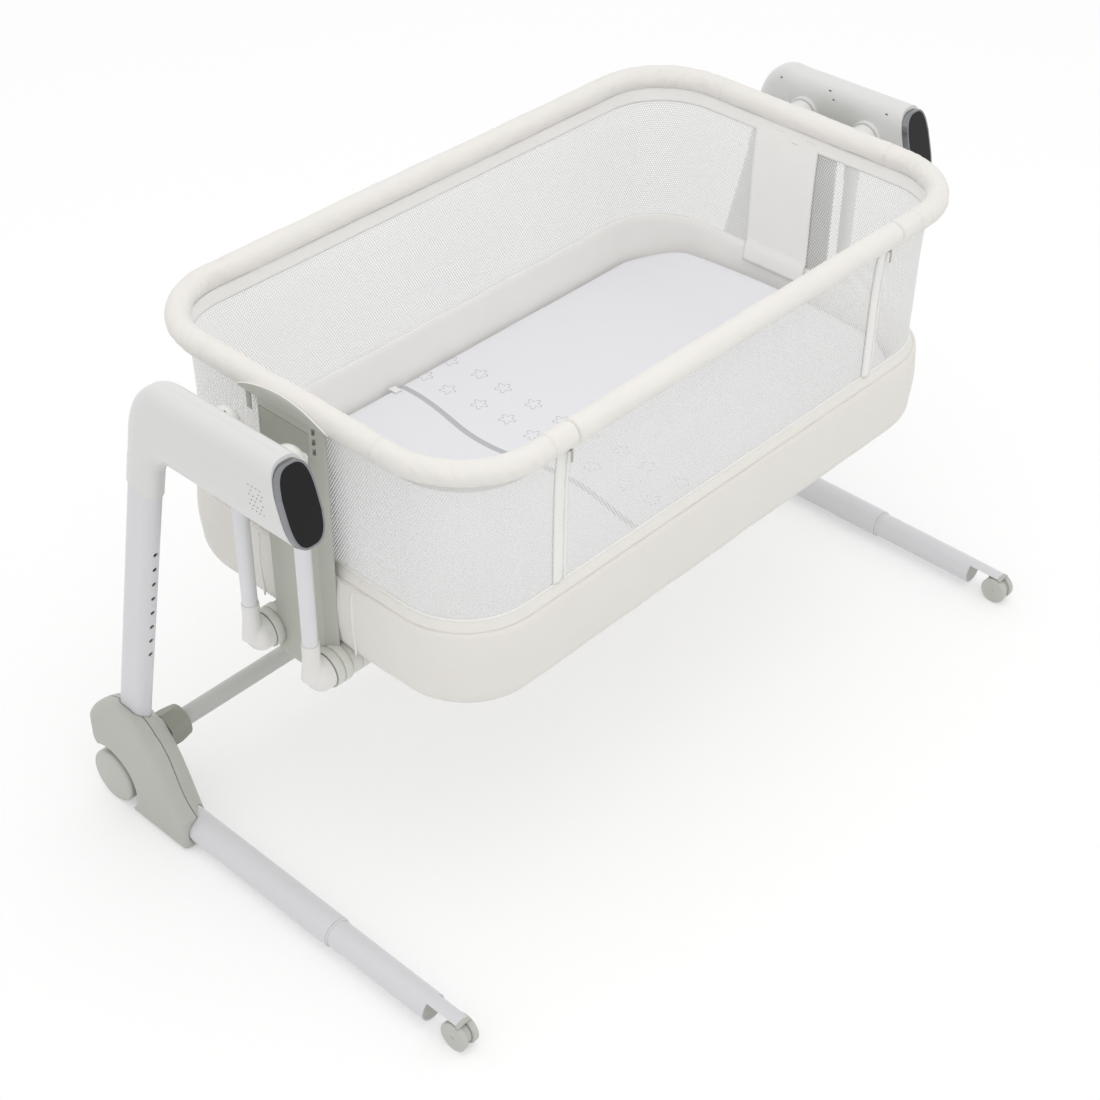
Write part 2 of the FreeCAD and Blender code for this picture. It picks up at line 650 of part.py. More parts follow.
def end_plane(offset):
    """Large block in front of the arm's slanted end, offset along its normal."""
    block = Part.makeBox(200, 200, 400, Vec(-100, -200, -200))
    block.rotate(Vec(0, 0, 0), AXIS_X, -END_TILT)
    block.translate(Vec(-ARM_X, ARM_END_Y, DISPLAY_Z) + end_normal() * offset)
    return block


def arm_cavity():
    """Room inside the arm for its motor, speaker and board."""
    height = ARM_TOP_BACK - ARM_BOTTOM
    centre = Vec(-ARM_X, CAVITY_BACK_Y, ARM_BOTTOM + height / 2)
    section = oval(ARM_T - 2 * ARM_WALL, height - 2 * ARM_WALL, ARM_SQUARE)
    face = Part.Face(place_section(section, centre, Vec(0, -1, 0)))
    room = face.extrude(Vec(0, 2 * ARM_END_Y - CAVITY_BACK_Y, 0))
    return room.cut(end_plane(-CAVITY_FRONT_GAP))


def arm_housing():
    """Arm casing with its cavity, before it is split into two halves."""
    cavity = arm_cavity()
    sections = arm_sections()
    sleeve = Part.makeLoft(sections[:2], True)
    bend = Part.makeLoft(sections[1:-1], True)
    front = Part.makeLoft(sections[-2:], True)
    body = sleeve.fuse([bend, front]).cut(end_plane(0)).cut(cavity)
    inner_face = -ARM_X + ARM_T / 2
    for y in boss_places():
        start = Vec(inner_face - 6, y, ROD_TOP_Z)
        boss = cylinder(CAP_R, -CAP_FACE - start.x, start, AXIS_X)
        edges = [e for e in boss.Edges if e.BoundBox.XMin > -CAP_FACE - 0.01]
        body = body.fuse(boss.makeFillet(3.0, edges).cut(cavity))
        body = body.fuse(cylinder(2 * PIN_R, ARM_T / 2 - 4, Vec(-ARM_X + 2, y, ROD_TOP_Z), AXIS_X))
        body = body.cut(cylinder(PIN_R + SEAT, ARM_T, Vec(-ARM_X + 2, y, ROD_TOP_Z), AXIS_X))
    return body.cut(height_tube_hole())


def height_tube_hole():
    axis = post_direction()
    base = post_point(POST_TOP_Z) - axis * 5
    top = post_point(INNER_TOP_Z) + axis * SEAT
    return place_section(inner_section(-SEAT), base, axis).extrude(axis * (top - base).Length)


def grille_holes():
    holes = []
    for row in range(GRILLE_ROWS):
        for col in range(GRILLE_COLS):
            y = SPEAKER_Y + (col - (GRILLE_COLS - 1) / 2) * GRILLE_PITCH
            z = SPEAKER_Z + (row - (GRILLE_ROWS - 1) / 2) * GRILLE_PITCH
            if row % 2:
                y += GRILLE_PITCH / 2
            holes.append(cylinder(GRILLE_HOLE_R, ARM_WALL * 3, Vec(-ARM_X - ARM_T / 2 - 1, y, z), AXIS_X))
    return Part.makeCompound(holes)


def arm_halves():
    housing = arm_housing()
    seam = 0.1
    outer_block = box((-ARM_X - 100, -300, 300), (-ARM_X, 400, 1000))
    inner_block = box((-ARM_X + seam, -300, 300), (-ARM_X + 100, 400, 1000))
    return housing.common(outer_block), housing.common(inner_block)


def bezel_and_display():
    """Frame on the arm's slanted end with the dark glass set into it."""
    normal = end_normal()
    centre = Vec(-ARM_X, ARM_END_Y, DISPLAY_Z)

    def ring(inset, depth):
        shape = oval(BEZEL_W - 2 * inset, BEZEL_H - 2 * inset, ARM_SQUARE)
        return place_section(shape, centre + normal * depth, normal)

    bezel = Part.makeLoft([ring(0, SEAT), ring(BEZEL_TAPER, BEZEL_T)], True, True)
    floor = BEZEL_T - DISPLAY_T
    pocket = Part.Face(ring(BEZEL_RIM, floor)).extrude(normal * (DISPLAY_T + 1))
    window = Part.Face(ring(3 * BEZEL_RIM, -1)).extrude(normal * (BEZEL_T + 1))
    pane = Part.Face(ring(BEZEL_RIM + SEAT, floor + SEAT)).extrude(normal * (DISPLAY_T - 2 * SEAT))
    return bezel.cut(pocket).cut(window), pane


def swing_motor():
    """Geared motor behind the front pivot, which rocks the front rod."""
    y = BASKET_Y - ROD_Y
    x = -ARM_X + 2 - SEAT
    gearbox = cylinder(GEARBOX_R, GEARBOX_LEN, Vec(x - GEARBOX_LEN, y, ROD_TOP_Z), AXIS_X)
    motor = cylinder(MOTOR_R, MOTOR_LEN, Vec(x - GEARBOX_LEN / 2, y + GEARBOX_R - 4, ROD_TOP_Z), AXIS_Y)
    return gearbox.fuse(motor.common(box((-ARM_X - 18, -300, 300), (x, 400, 1000))))


def speaker():
    x = -ARM_X - ARM_T / 2 + ARM_WALL + 1.0
    cone = Part.makeCone(SPEAKER_R, SPEAKER_R * 0.6, SPEAKER_T, Vec(x, SPEAKER_Y, SPEAKER_Z), AXIS_X)
    return cone.fuse(cylinder(SPEAKER_R + 1.5, 1.5, Vec(x, SPEAKER_Y, SPEAKER_Z), AXIS_X))


def control_board():
    y = ARM_END_Y + BOARD_BACK
    x = -ARM_X + ARM_T / 2 - ARM_WALL - BOARD_IN
    middle = (ARM_BOTTOM + ARM_TOP_BACK) / 2
    return box((x, y, middle - BOARD_TALL / 2), (x + BOARD_THICK, y + BOARD_LONG, middle + BOARD_TALL / 2))


# ---- posts ----------------------------------------------------------------
def inner_section(shrink):
    gap = POST_WALL + BUSH_T + SLIDE
    return stadium(POST_T - 2 * gap - 2 * shrink, POST_W - 2 * gap - 2 * shrink)


def tube_along_post(outer, inner, low_z, high_z):
    axis = post_direction()
    low, high = post_point(low_z), post_point(high_z)
    length = (high - low).Length
    solid = place_section(outer, low, axis).extrude(axis * length)
    return solid.cut(place_section(inner, low, axis).extrude(axis * length))


def hole_point(index):
    """Centre of a height hole, on the post's axis."""
    return post_point(HOLE_LOW_Z) + post_direction() * (HOLE_PITCH * index)


def post_tube():
    bore = stadium(POST_T - 2 * POST_WALL, POST_W - 2 * POST_WALL)
    tube = tube_along_post(stadium(POST_T, POST_W), bore, POST_LOW_Z, POST_TOP_Z - SEAT)
    out = forward()
    for i in range(HOLE_COUNT):
        tube = tube.cut(cylinder(HOLE_R, POST_W, hole_point(i), out))
    return tube


def forward():
    """Unit vector out of the post's front edge."""
    lean = math.radians(POST_LEAN)
    return Vec(0, -math.cos(lean), -math.sin(lean))


def post_bushes():
    """Plastic sleeves that guide the height tube, one at the top of each post."""
    outer = stadium(POST_T - 2 * POST_WALL - 2 * SEAT, POST_W - 2 * POST_WALL - 2 * SEAT)
    top = POST_TOP_Z - SEAT
    return tube_along_post(outer, inner_section(-SLIDE), top - BUSH_LEN, top)


def height_tube():
    tube = tube_along_post(inner_section(0), inner_section(POST_WALL), INNER_LOW_Z, INNER_TOP_Z)
    return tube.cut(cylinder(LOCK_R + SEAT, POST_W, hole_point(0), forward()))


def lock_pin():
    """Height lock: drawn back it clears the post, pushed out it fills a hole."""
    gap = POST_WALL + BUSH_T + SLIDE
    tip = POST_W / 2 - gap + 0.8
    base = hole_point(0) + forward() * (tip - LOCK_LEN)
    pin = cylinder(LOCK_R, LOCK_LEN, base, forward())
    head = cylinder(LOCK_R + 2.5, 2.0, base, forward())
    round_edge = [e for e in pin.Edges if (e.BoundBox.Center - (base + forward() * LOCK_LEN)).Length < 0.5]
    return pin.makeFillet(1.2, round_edge).fuse(head)


# ---- corner mouldings -----------------------------------------------------
def corner_wire(x, share, inset, drop):
    """Side outline of a corner moulding at one x: toe, front slope and rear lobe.

    share runs from 0 for the outer front slope to 1 for the inner one; inset
    shrinks the outline and drop lowers its top.
    """
    def point(y, z):
        return Vec(-x, y, z)

    slope = []
    for (y0, z0), (y1, z1) in zip(OUTER_SLOPE, INNER_SLOPE):
        slope.append(point(TOE_Y + y0 + (y1 - y0) * share + inset, z0 + (z1 - z0) * share - inset * 0.5))
    toe = slope[0].y
    rear = LOBE_Y - inset
    top = LOBE_TOP - inset - drop
    crown = [slope[-1], point(slope[-1].y + 24 - 8 * share, top - 3), point(rear - 60, top + 1),
             point(rear - 28, top - 8), point(rear - 10, top - 24), point(rear, top - 40 + drop * 0.5)]
    front = Part.BSplineCurve()
    front.interpolate(slope)
    over = Part.BSplineCurve()
    over.interpolate(crown)
    ledge = 2 * WHEEL_R + 14
    corners = [crown[-1], point(rear, ledge), point(WHEEL_Y, WHEEL_R),
               point(WHEEL_Y - 12, CORNER_BOTTOM), point(toe, CORNER_BOTTOM), slope[0]]
    lines = [Part.LineSegment(a, b).toShape() for a, b in zip(corners, corners[1:])]
    return Part.Wire([front.toShape(), over.toShape()] + lines)


def corner_cutters():
    axis = post_direction()
    low = post_point(POST_LOW_Z) - axis * SEAT
    post = place_section(stadium(POST_T + 2 * SEAT, POST_W + 2 * SEAT), low, axis).extrude(axis * 400)
    leg = leg_solid(LEG_R + SEAT, TOE_Y - 60, LEG_BACK_Y + SEAT)
    bar = cylinder(BAR_R + SEAT, BAR_IN + 1 + SEAT, Vec(-bar_half() - SEAT, BAR_Y, BAR_Z), AXIS_X)
    axle = cylinder(AXLE_R + SEAT, 60, Vec(-CORNER_OUT, WHEEL_Y, WHEEL_R), AXIS_X)
    return [post, leg, bar, axle]


def bar_half():
    """Half length of the crossbar, which ends inside the mouldings' inner halves."""
    return CORNER_IN + BAR_IN


def corner_pieces():
    """Outer and inner half of a corner moulding."""
    arch = cylinder(WHEEL_R + WHEEL_GAP, CORNER_OUT, Vec(-CORNER_OUT - 1, WHEEL_Y, WHEEL_R), AXIS_X)
    seam = 0.1
    middle = (CORNER_SPLIT + CORNER_IN) / 2
    outer = Part.makeLoft([
        corner_wire(CORNER_OUT, 0, CORNER_EDGE, CORNER_EDGE),
        corner_wire(CORNER_OUT - CORNER_EDGE * 0.4, 0, CORNER_EDGE * 0.35, CORNER_EDGE * 0.35),
        corner_wire(CORNER_OUT - CORNER_EDGE * 1.2, 0, 0, 0),
        corner_wire(CORNER_SPLIT + seam, 0, 0, 0)], True, True)
    inner = Part.makeLoft([
        corner_wire(CORNER_SPLIT, 0, 0, 0),
        corner_wire(middle, 0.5, 0, INNER_DROP * 0.25),
        corner_wire(CORNER_IN, 1, 3, INNER_DROP)], True, True)
    inner = inner.cut(arch).fuse(axle_web())
    outer = outer.cut(arch)
    for cutter in corner_cutters():
        outer = outer.cut(cutter)
        inner = inner.cut(cutter)
    return outer, inner


def axle_web():
    """Web behind the wheel that holds its axle."""
    depth = CORNER_SPLIT - CORNER_IN
    web = cylinder(WHEEL_R - 6, depth, Vec(-CORNER_SPLIT, WHEEL_Y, WHEEL_R), AXIS_X)
    link = box((-CORNER_SPLIT, WHEEL_Y - WHEEL_R - WHEEL_GAP - 6, WHEEL_R - 12),
               (-CORNER_IN, WHEEL_Y - 10, WHEEL_R + 16))
    return web.fuse(link)


def foot_pad():
    """Rubber foot under the outer half of a corner moulding."""
    x = -(CORNER_SPLIT + CORNER_OUT - CORNER_EDGE) / 2
    return cylinder(FOOT_R, CORNER_BOTTOM, Vec(x, FOOT_Y, 0), AXIS_Z)


def crossbar():
    length = 2 * bar_half()
    base = Vec(-bar_half(), BAR_Y, BAR_Z)
    return cylinder(BAR_R, length, base, AXIS_X).cut(cylinder(BAR_R - BAR_WALL, length, base, AXIS_X))


def crossbar_socket():
    """Six-sided, domed clamp between the moulding and the crossbar."""
    start = -CORNER_IN + SEAT
    points = []
    for i in range(7):
        angle = math.pi / 3 * i + math.pi / 6
        points.append(Vec(start, BAR_Y + SOCKET_R * math.cos(angle), BAR_Z + SOCKET_R * math.sin(angle)))
    prism = Part.Face(Part.makePolygon(points)).extrude(Vec(SOCKET_LEN, 0, 0))
    taper = Part.makeCone(SOCKET_R + 3, SOCKET_R * 0.86, SOCKET_LEN + 2, Vec(start - 1, BAR_Y, BAR_Z), AXIS_X)
    prism = prism.common(taper)
    return prism.cut(cylinder(BAR_R + SEAT, SOCKET_LEN + 2, Vec(start - 1, BAR_Y, BAR_Z), AXIS_X))


# ---- legs -----------------------------------------------------------------
def leg_solid(radius, front_y, back_y):
    return cylinder(radius, back_y - front_y, Vec(-LEG_X, front_y, LEG_Z), AXIS_Y)


def leg_tube():
    return leg_solid(LEG_R, LEG_SEAM_Y, LEG_BACK_Y).cut(leg_solid(LEG_R - LEG_WALL, LEG_SEAM_Y, LEG_BACK_Y))


def leg_slider():
    radius = LEG_R - LEG_WALL - SLIDE
    tube = leg_solid(radius, SLIDER_END_Y, SLIDER_BACK_Y)
    tube = tube.cut(leg_solid(radius - LEG_WALL, SLIDER_END_Y, SLIDER_BACK_Y))
    return tube.cut(leg_notch(SLIDER_END_Y, NOTCH_Y, NOTCH_Z))


def leg_notch(front_y, back_y, high):
    """Room for the caster, cut into the leg's end from below."""
    return box((-LEG_X - LEG_R, front_y - 1, 0), (-LEG_X + LEG_R, back_y, high))


def leg_cap():
    """Grey plug of the leg's end: it closes the tube and carries the caster's stem."""
    radius = LEG_R - LEG_WALL - SLIDE
    core = leg_solid(radius - LEG_WALL - SEAT, SLIDER_END_Y, NOTCH_Y + PLUG_LEN)
    nose = leg_solid(radius, SLIDER_END_Y - CAP_T, SLIDER_END_Y - SEAT)
    cap = core.fuse(nose).cut(leg_notch(SLIDER_END_Y - CAP_T, NOTCH_Y + SEAT, NOTCH_Z - CAP_LIP))
    stem = cylinder(STEM_R + RUN, LEG_R, Vec(-LEG_X, CASTER_Y, NOTCH_Z - LEG_R / 2), AXIS_Z)
    return cap.cut(stem)


# ---- wheels ---------------------------------------------------------------
def wheel_profile(radius, width, bore, round_r):
    """Half section of a wheel about the X axis, from x = 0 to x = width."""
    r, w, b, f = radius, width, bore, round_r
    k = f * (1 - math.sqrt(0.5))
    return Part.Face(Part.Wire([
        Part.LineSegment(Vec(0, 0, b), Vec(0, 0, r - f)).toShape(),
        Part.Arc(Vec(0, 0, r - f), Vec(k, 0, r - k), Vec(f, 0, r)).toShape(),
        Part.LineSegment(Vec(f, 0, r), Vec(w - f, 0, r)).toShape(),
        Part.Arc(Vec(w - f, 0, r), Vec(w - k, 0, r - k), Vec(w, 0, r - f)).toShape(),
        Part.LineSegment(Vec(w, 0, r - f), Vec(w, 0, b)).toShape(),
        Part.LineSegment(Vec(w, 0, b), Vec(0, 0, b)).toShape(),
    ]))


def rear_wheel():
    wheel = wheel_profile(WHEEL_R, WHEEL_T, AXLE_R + RUN, 3.5).revolve(Vec(0, 0, 0), AXIS_X, 360)
    groove = Part.makeTorus(WHEEL_R - 7, 1.0, Vec(0, 0, 0), AXIS_X)
    wheel = wheel.cut(groove)
    wheel.translate(Vec(-CORNER_OUT, WHEEL_Y, WHEEL_R))
    return wheel


def rear_axle():
    start = -CORNER_OUT - 1.5
    rod = cylinder(AXLE_R, -CORNER_IN - 4 - start, Vec(start, WHEEL_Y, WHEEL_R), AXIS_X)
    head = cylinder(AXLE_R + 4, 1.5 - SEAT, Vec(start, WHEEL_Y, WHEEL_R), AXIS_X)
    return rod.fuse(head)


def caster_body():
    """Middle web of the caster with its upright stem and its axle."""
    y = CASTER_Y - CASTER_TRAIL
    half = CASTER_BODY_T / 2
    web = cylinder(CASTER_BODY_R, CASTER_BODY_T, Vec(-LEG_X - half, y, CASTER_R), AXIS_X)
    top = NOTCH_Z - CAP_LIP - GAP
    neck = box((-LEG_X - half, CASTER_Y - 6, CASTER_R), (-LEG_X + half, CASTER_Y + 5, top))
    stem = cylinder(STEM_R, LEG_Z + LEG_R - 5 - CASTER_R, Vec(-LEG_X, CASTER_Y, CASTER_R), AXIS_Z)
    reach = half + CASTER_WHEEL_T + 1.0
    axle = cylinder(CASTER_AXLE_R, 2 * reach, Vec(-LEG_X - reach, y, CASTER_R), AXIS_X)
    return web.multiFuse([neck, stem, axle])


def caster_wheels():
    y = CASTER_Y - CASTER_TRAIL
    wheels = []
    for side in (-1, 1):
        wheel = wheel_profile(CASTER_R, CASTER_WHEEL_T, CASTER_AXLE_R + RUN, 2.2)
        wheel = wheel.revolve(Vec(0, 0, 0), AXIS_X, 360)
        x = CASTER_BODY_T / 2 + AIR
        if side < 0:
            x = -x - CASTER_WHEEL_T
        wheel.translate(Vec(-LEG_X + x, y, CASTER_R))
        wheels.append(wheel)
    return Part.makeCompound(wheels)


# ---- build ----------------------------------------------------------------
def build():
    os.makedirs("parts", exist_ok=True)
    save(rim_sweep(RIM_TUBE_R, RIM_TUBE_R - 1.5), "rim_frame")
    save(rim_sweep(RIM_PAD_R, RIM_TUBE_R + AIR), "rim_pad")
    save(rail_tube(RIM_TUBE_R, RIM_TUBE_R - 1.5, AIR), "rail_tube")
    save(rail_tube(RIM_PAD_R, RIM_TUBE_R + AIR, AIR), "rail_pad")
    save(mesh_wall(), "mesh_wall")
    save(mesh_front(), "mesh_front")
    save(base_band(), "base_band")
    save(base_board(), "base_board")
    save(mattress(), "mattress")
    save_ends(end_plate(), "end_plate")
    save(both_ends(plate_panel()), "plate_panels")
    save(both_ends(boss_collars()), "boss_collars")
    save(both_ends(lower_pins()), "lower_pivot_pins")
    for name, y in rod_places():
        save_ends(rod_tube(y), "swing_rod_" + name)
        play = RUN if name == "front" else OPEN_PIVOT
        save(rod_ends(y, play), "rod_ends_" + name + "_near")
        save(rod_ends(y, OPEN_PIVOT).mirror(Vec(0, 0, 0), AXIS_X), "rod_ends_" + name + "_far")
    outer, inner = arm_halves()
    save(outer.cut(grille_holes()), "arm_outer_near")
    save(outer.mirror(Vec(0, 0, 0), AXIS_X), "arm_outer_far")
    save_ends(inner, "arm_inner")
    bezel, display = bezel_and_display()
    save_ends(bezel, "display_bezel")
    save_ends(display, "display_glass")
    save_ends(upper_pins(), "upper_pivot_pins")
    save(swing_motor(), "swing_motor")
    save(speaker(), "speaker")
    save(control_board(), "control_board")
    save_ends(height_tube(), "height_tube")
    save_ends(lock_pin(), "lock_pin")
    save_ends(post_tube(), "post_tube")
    save(both_ends(post_bushes()), "post_bushes")
    outer, inner = corner_pieces()
    save(both_ends(outer), "corner_outer_halves")
    save(both_ends(inner), "corner_inner_halves")
    save(both_ends(foot_pad()), "foot_pads")
    save(crossbar(), "crossbar")
    save(both_ends(crossbar_socket()), "crossbar_sockets")
    save_ends(leg_tube(), "leg_tube")
    save_ends(leg_slider(), "leg_slider")
    save_ends(leg_cap(), "leg_cap")
    save_ends(rear_wheel(), "rear_wheel")
    save(both_ends(rear_axle()), "rear_axles")
    save_ends(caster_body(), "caster_body")
    save_ends(caster_wheels(), "caster_wheels")


build()
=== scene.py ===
"""Rocking bedside bassinet on a height-adjustable stand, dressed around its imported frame.

All sizes are metres. X runs along the cot, -Y is the side whose rail drops, +Z is up.
The "near" end is at -X and the "far" end at +X.
"""
import json
import math

import bmesh
import bpy
from mathutils import Matrix, Vector, noise

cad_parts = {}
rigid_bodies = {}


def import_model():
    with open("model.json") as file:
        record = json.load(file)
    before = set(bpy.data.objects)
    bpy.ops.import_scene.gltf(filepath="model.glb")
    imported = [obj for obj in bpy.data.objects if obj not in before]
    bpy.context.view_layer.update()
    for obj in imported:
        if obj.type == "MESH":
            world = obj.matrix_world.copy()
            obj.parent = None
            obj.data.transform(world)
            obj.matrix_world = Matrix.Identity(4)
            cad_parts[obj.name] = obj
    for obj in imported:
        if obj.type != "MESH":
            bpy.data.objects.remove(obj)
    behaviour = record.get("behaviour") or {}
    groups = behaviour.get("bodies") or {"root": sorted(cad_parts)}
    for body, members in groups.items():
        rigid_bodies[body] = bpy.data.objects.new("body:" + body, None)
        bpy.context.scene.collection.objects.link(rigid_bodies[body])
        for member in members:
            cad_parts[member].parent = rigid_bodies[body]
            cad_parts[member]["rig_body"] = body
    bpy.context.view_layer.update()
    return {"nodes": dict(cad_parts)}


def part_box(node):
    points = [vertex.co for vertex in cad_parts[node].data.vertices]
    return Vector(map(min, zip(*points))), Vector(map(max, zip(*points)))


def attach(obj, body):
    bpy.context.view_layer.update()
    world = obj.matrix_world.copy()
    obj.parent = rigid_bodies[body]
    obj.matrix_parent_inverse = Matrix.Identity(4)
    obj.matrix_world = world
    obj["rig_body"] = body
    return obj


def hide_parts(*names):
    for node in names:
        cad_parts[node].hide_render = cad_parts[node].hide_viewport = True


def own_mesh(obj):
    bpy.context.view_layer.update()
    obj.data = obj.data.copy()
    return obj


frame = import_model()

# ---- Rear wheels and casters ---------------------------------------------------------------
# Two large wheels under the rear lobes and a twin-disc caster under each leg's end, moulded in
# grey nylon on steel axles. A low domed cover closes each large wheel's outer face.


def linear(code):
    """Turns an sRGB hex colour into the linear values that a shader takes."""
    parts = [int(code[i:i + 2], 16) / 255 for i in (1, 3, 5)]
    return [c / 12.92 if c <= 0.04045 else ((c + 0.055) / 1.055) ** 2.4 for c in parts] + [1.0]


def add_node(tree, kind, inputs=None, **settings):
    """Adds a node to a tree. Each input is given a value, or an output to be linked to."""
    node = tree.nodes.new(kind)
    for name, value in settings.items():
        setattr(node, name, value)
    for socket, value in (inputs or {}).items():
        if isinstance(value, bpy.types.NodeSocket):
            tree.links.new(value, node.inputs[socket])
        else:
            node.inputs[socket].default_value = value
    return node


def start_material(name, sockets):
    """New material, its tree and its shader, with these values on the shader's sockets."""
    material = bpy.data.materials.new(name)
    material.use_nodes = True
    shader = material.node_tree.nodes["Principled BSDF"]
    for socket, value in sockets.items():
        shader.inputs[socket].default_value = value
    return material, material.node_tree, shader


def mottle(tree, shader, colour, change, patch):
    """Varies a colour by a small share, in patches of this many millimetres."""
    place = add_node(tree, "ShaderNodeTexCoord").outputs["Object"]
    cloud = add_node(tree, "ShaderNodeTexNoise", {"Vector": place, "Scale": 1000 / patch, "Detail": 3.0})
    shade = [c * (1 - change) for c in linear(colour)[:3]] + [1.0]
    shades = {0: cloud.outputs["Fac"], 6: shade, 7: linear(colour)}
    mix = add_node(tree, "ShaderNodeMix", shades, data_type="RGBA")
    tree.links.new(mix.outputs[2], shader.inputs["Base Color"])
    return place


def plain_material(name, sockets, colour, change, patch):
    """Material with a mottled colour and no relief."""
    material, tree, shader = start_material(name, sockets)
    mottle(tree, shader, colour, change, patch)
    return material


def add_bump(tree, shader, height, depth):
    """Bump of this many millimetres from a height of 0 to 1."""
    bump = add_node(tree, "ShaderNodeBump", {"Height": height, "Distance": depth / 1000, "Strength": 1.0})
    tree.links.new(bump.outputs["Normal"], shader.inputs["Normal"])
    return bump


def grained(name, sockets, colour, change, patch, grain, detail, depth):
    """Material with a mottled colour and a cloudy relief, sized in millimetres."""
    material, tree, shader = start_material(name, sockets)
    place = mottle(tree, shader, colour, change, patch)
    cells = add_node(tree, "ShaderNodeTexNoise", {"Vector": place, "Scale": 1000 / grain, "Detail": detail})
    add_bump(tree, shader, cells.outputs["Fac"], depth)
    return material


def moulded_plastic(name, colour, roughness, grain, depth):
    """Injection-moulded plastic with the fine spark-eroded grain of its mould."""
    return grained(name, {"Roughness": roughness, "IOR": 1.5}, colour, 0.05, 90, grain, 2.0, depth)


def paint_nodes(material, *names):
    """Gives CAD nodes a material on all their slots."""
    for name in names:
        for place in frame["nodes"][name].material_slots:
            place.material = material


def both(name):
    return name + "_near", name + "_far"


def link_data(name, data):
    """New object that holds a mesh, a light or a camera, linked to the scene."""
    piece = bpy.data.objects.new(name, data)
    bpy.context.scene.collection.objects.link(piece)
    return piece


def link_work(name, work):
    """New object from a bmesh, which is freed."""
    mesh = bpy.data.meshes.new(name)
    work.to_mesh(mesh)
    work.free()
    return link_data(name, mesh)


def apply_modifiers(piece):
    """Replaces a piece's mesh by its evaluated one, with no modifier left."""
    evaluated = piece.evaluated_get(bpy.context.evaluated_depsgraph_get())
    mesh = bpy.data.meshes.new_from_object(evaluated)
    piece.modifiers.clear()
    piece.data = mesh
    mesh.polygons.foreach_set("use_smooth", [True] * len(mesh.polygons))


def dress(piece, material, body, slot, *nodes):
    """Gives a finished piece its material and its body, and hides the CAD nodes it stands for. The slot is
    not used.
    """
    if material:
        piece.data.materials.append(material)
    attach(piece, body)
    if nodes:
        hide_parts(*nodes)
    return piece


def turned(name, centre, axis, section):
    """Piece turned about an axis through a centre, from its section's (radius, advance) points."""
    turns, spoke = 48, axis.orthogonal().normalized()
    work = bmesh.new()
    rings = []
    for i in range(turns):
        arm = Matrix.Rotation(2 * math.pi * i / turns, 3, axis) @ spoke
        rings.append([work.verts.new(centre + arm * radius + axis * advance) for radius, advance in section])
    for i in range(turns):
        for j in range(len(section)):
            a, b = rings[i - 1], rings[i]
            work.faces.new((a[j - 1], a[j], b[j], b[j - 1])).smooth = True
    bmesh.ops.remove_doubles(work, verts=work.verts[:], dist=TINY)
    bmesh.ops.dissolve_degenerate(work, dist=TINY, edges=work.edges[:])
    bmesh.ops.recalc_face_normals(work, faces=work.faces[:])
    return link_work(name, work)


ENDS = (("near", -1), ("far", 1))
TINY = 1e-6
# Share of the wheel's radius, and mm proud of its face: a dome, a groove and a rim.
COVER = ((0, 1.9), (0.35, 1.8), (0.65, 1.4), (0.8, 0.9), (0.85, 0.5), (0.87, 0.1), (0.89, 0.5), (0.93, 0.4),
         (0.955, -0.4), (0.955, -1.0))
wheel_nylon = moulded_plastic("moulded nylon", "#C4C4BE", 0.42, 0.8, 0.02)
paint_nodes(wheel_nylon, *both("rear_wheel"), *both("caster_body"), *both("caster_wheels"))
for name, side in ENDS:
    low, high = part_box("rear_wheel_" + name)
    centre = (low + high) / 2
    centre.x = low.x if side < 0 else high.x
    tread = (high.z - low.z) / 2
    section = [(0, -0.001)] + [(tread * share, rise / 1000) for share, rise in COVER]
    disc = turned("wheel_cover_" + name, centre, Vector((side, 0, 0)), section)
    dress(disc, wheel_nylon, "rear_wheel_" + name, "grey_plastic")
axle_steel = plain_material("zinc plated steel", {"Metallic": 1.0, "Roughness": 0.32}, "#B9BBBD", 0.12, 6)
paint_nodes(axle_steel, "rear_axles")

# ---- Corner mouldings and feet -------------------------------------------------------------
# Each corner is a clamshell of ABS that grips the leg, the post and the crossbar.
# The feet are soft rubber. The halves are copies of the CAD pieces with every edge eased.
EASE_GRID, EASE_PASSES = 0.0017, 9


def eased_copy(name, node, material, slot):
    """Copy of a CAD piece with its edges rounded by a few millimetres, in the piece's place."""
    source = frame["nodes"][node]
    work = bmesh.new()
    work.from_mesh(source.data)
    bmesh.ops.remove_doubles(work, verts=work.verts[:], dist=TINY)
    piece = link_work(name, work)
    grid = piece.modifiers.new("grid", "REMESH")
    grid.mode, grid.voxel_size = "VOXEL", EASE_GRID
    ease = piece.modifiers.new("ease", "SMOOTH")
    ease.factor, ease.iterations = 0.5, EASE_PASSES
    apply_modifiers(piece)
    dress(piece, material, source["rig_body"], slot, node)


moulding_abs = moulded_plastic("textured ABS", "#BFC0B9", 0.52, 0.9, 0.03)
eased_copy("corner_outer_shells", "corner_outer_halves", moulding_abs, "grey_plastic")
eased_copy("corner_inner_shells", "corner_inner_halves", moulding_abs, "grey_plastic")
paint_nodes(moulding_abs, *both("leg_cap"))
foot_rubber = moulded_plastic("soft rubber", "#3A3A38", 0.8, 0.6, 0.04)
paint_nodes(foot_rubber, "foot_pads")

# ---- Legs ----------------------------------------------------------------------------------
# Drawn steel tube under a white powder coat, which dries with a faint orange-peel skin. The
# front of each leg slides out through a nylon bush, whose lip shows at the tube's mouth.


def powder_coat(name, colour):
    """Polyester powder on steel: dimples 1.6 mm apart in a satin skin."""
    sockets = {"Roughness": 0.38, "IOR": 1.5, "Coat Weight": 0.15, "Coat Roughness": 0.3}
    return grained(name, sockets, colour, 0.03, 120, 1.6, 1.0, 0.015)


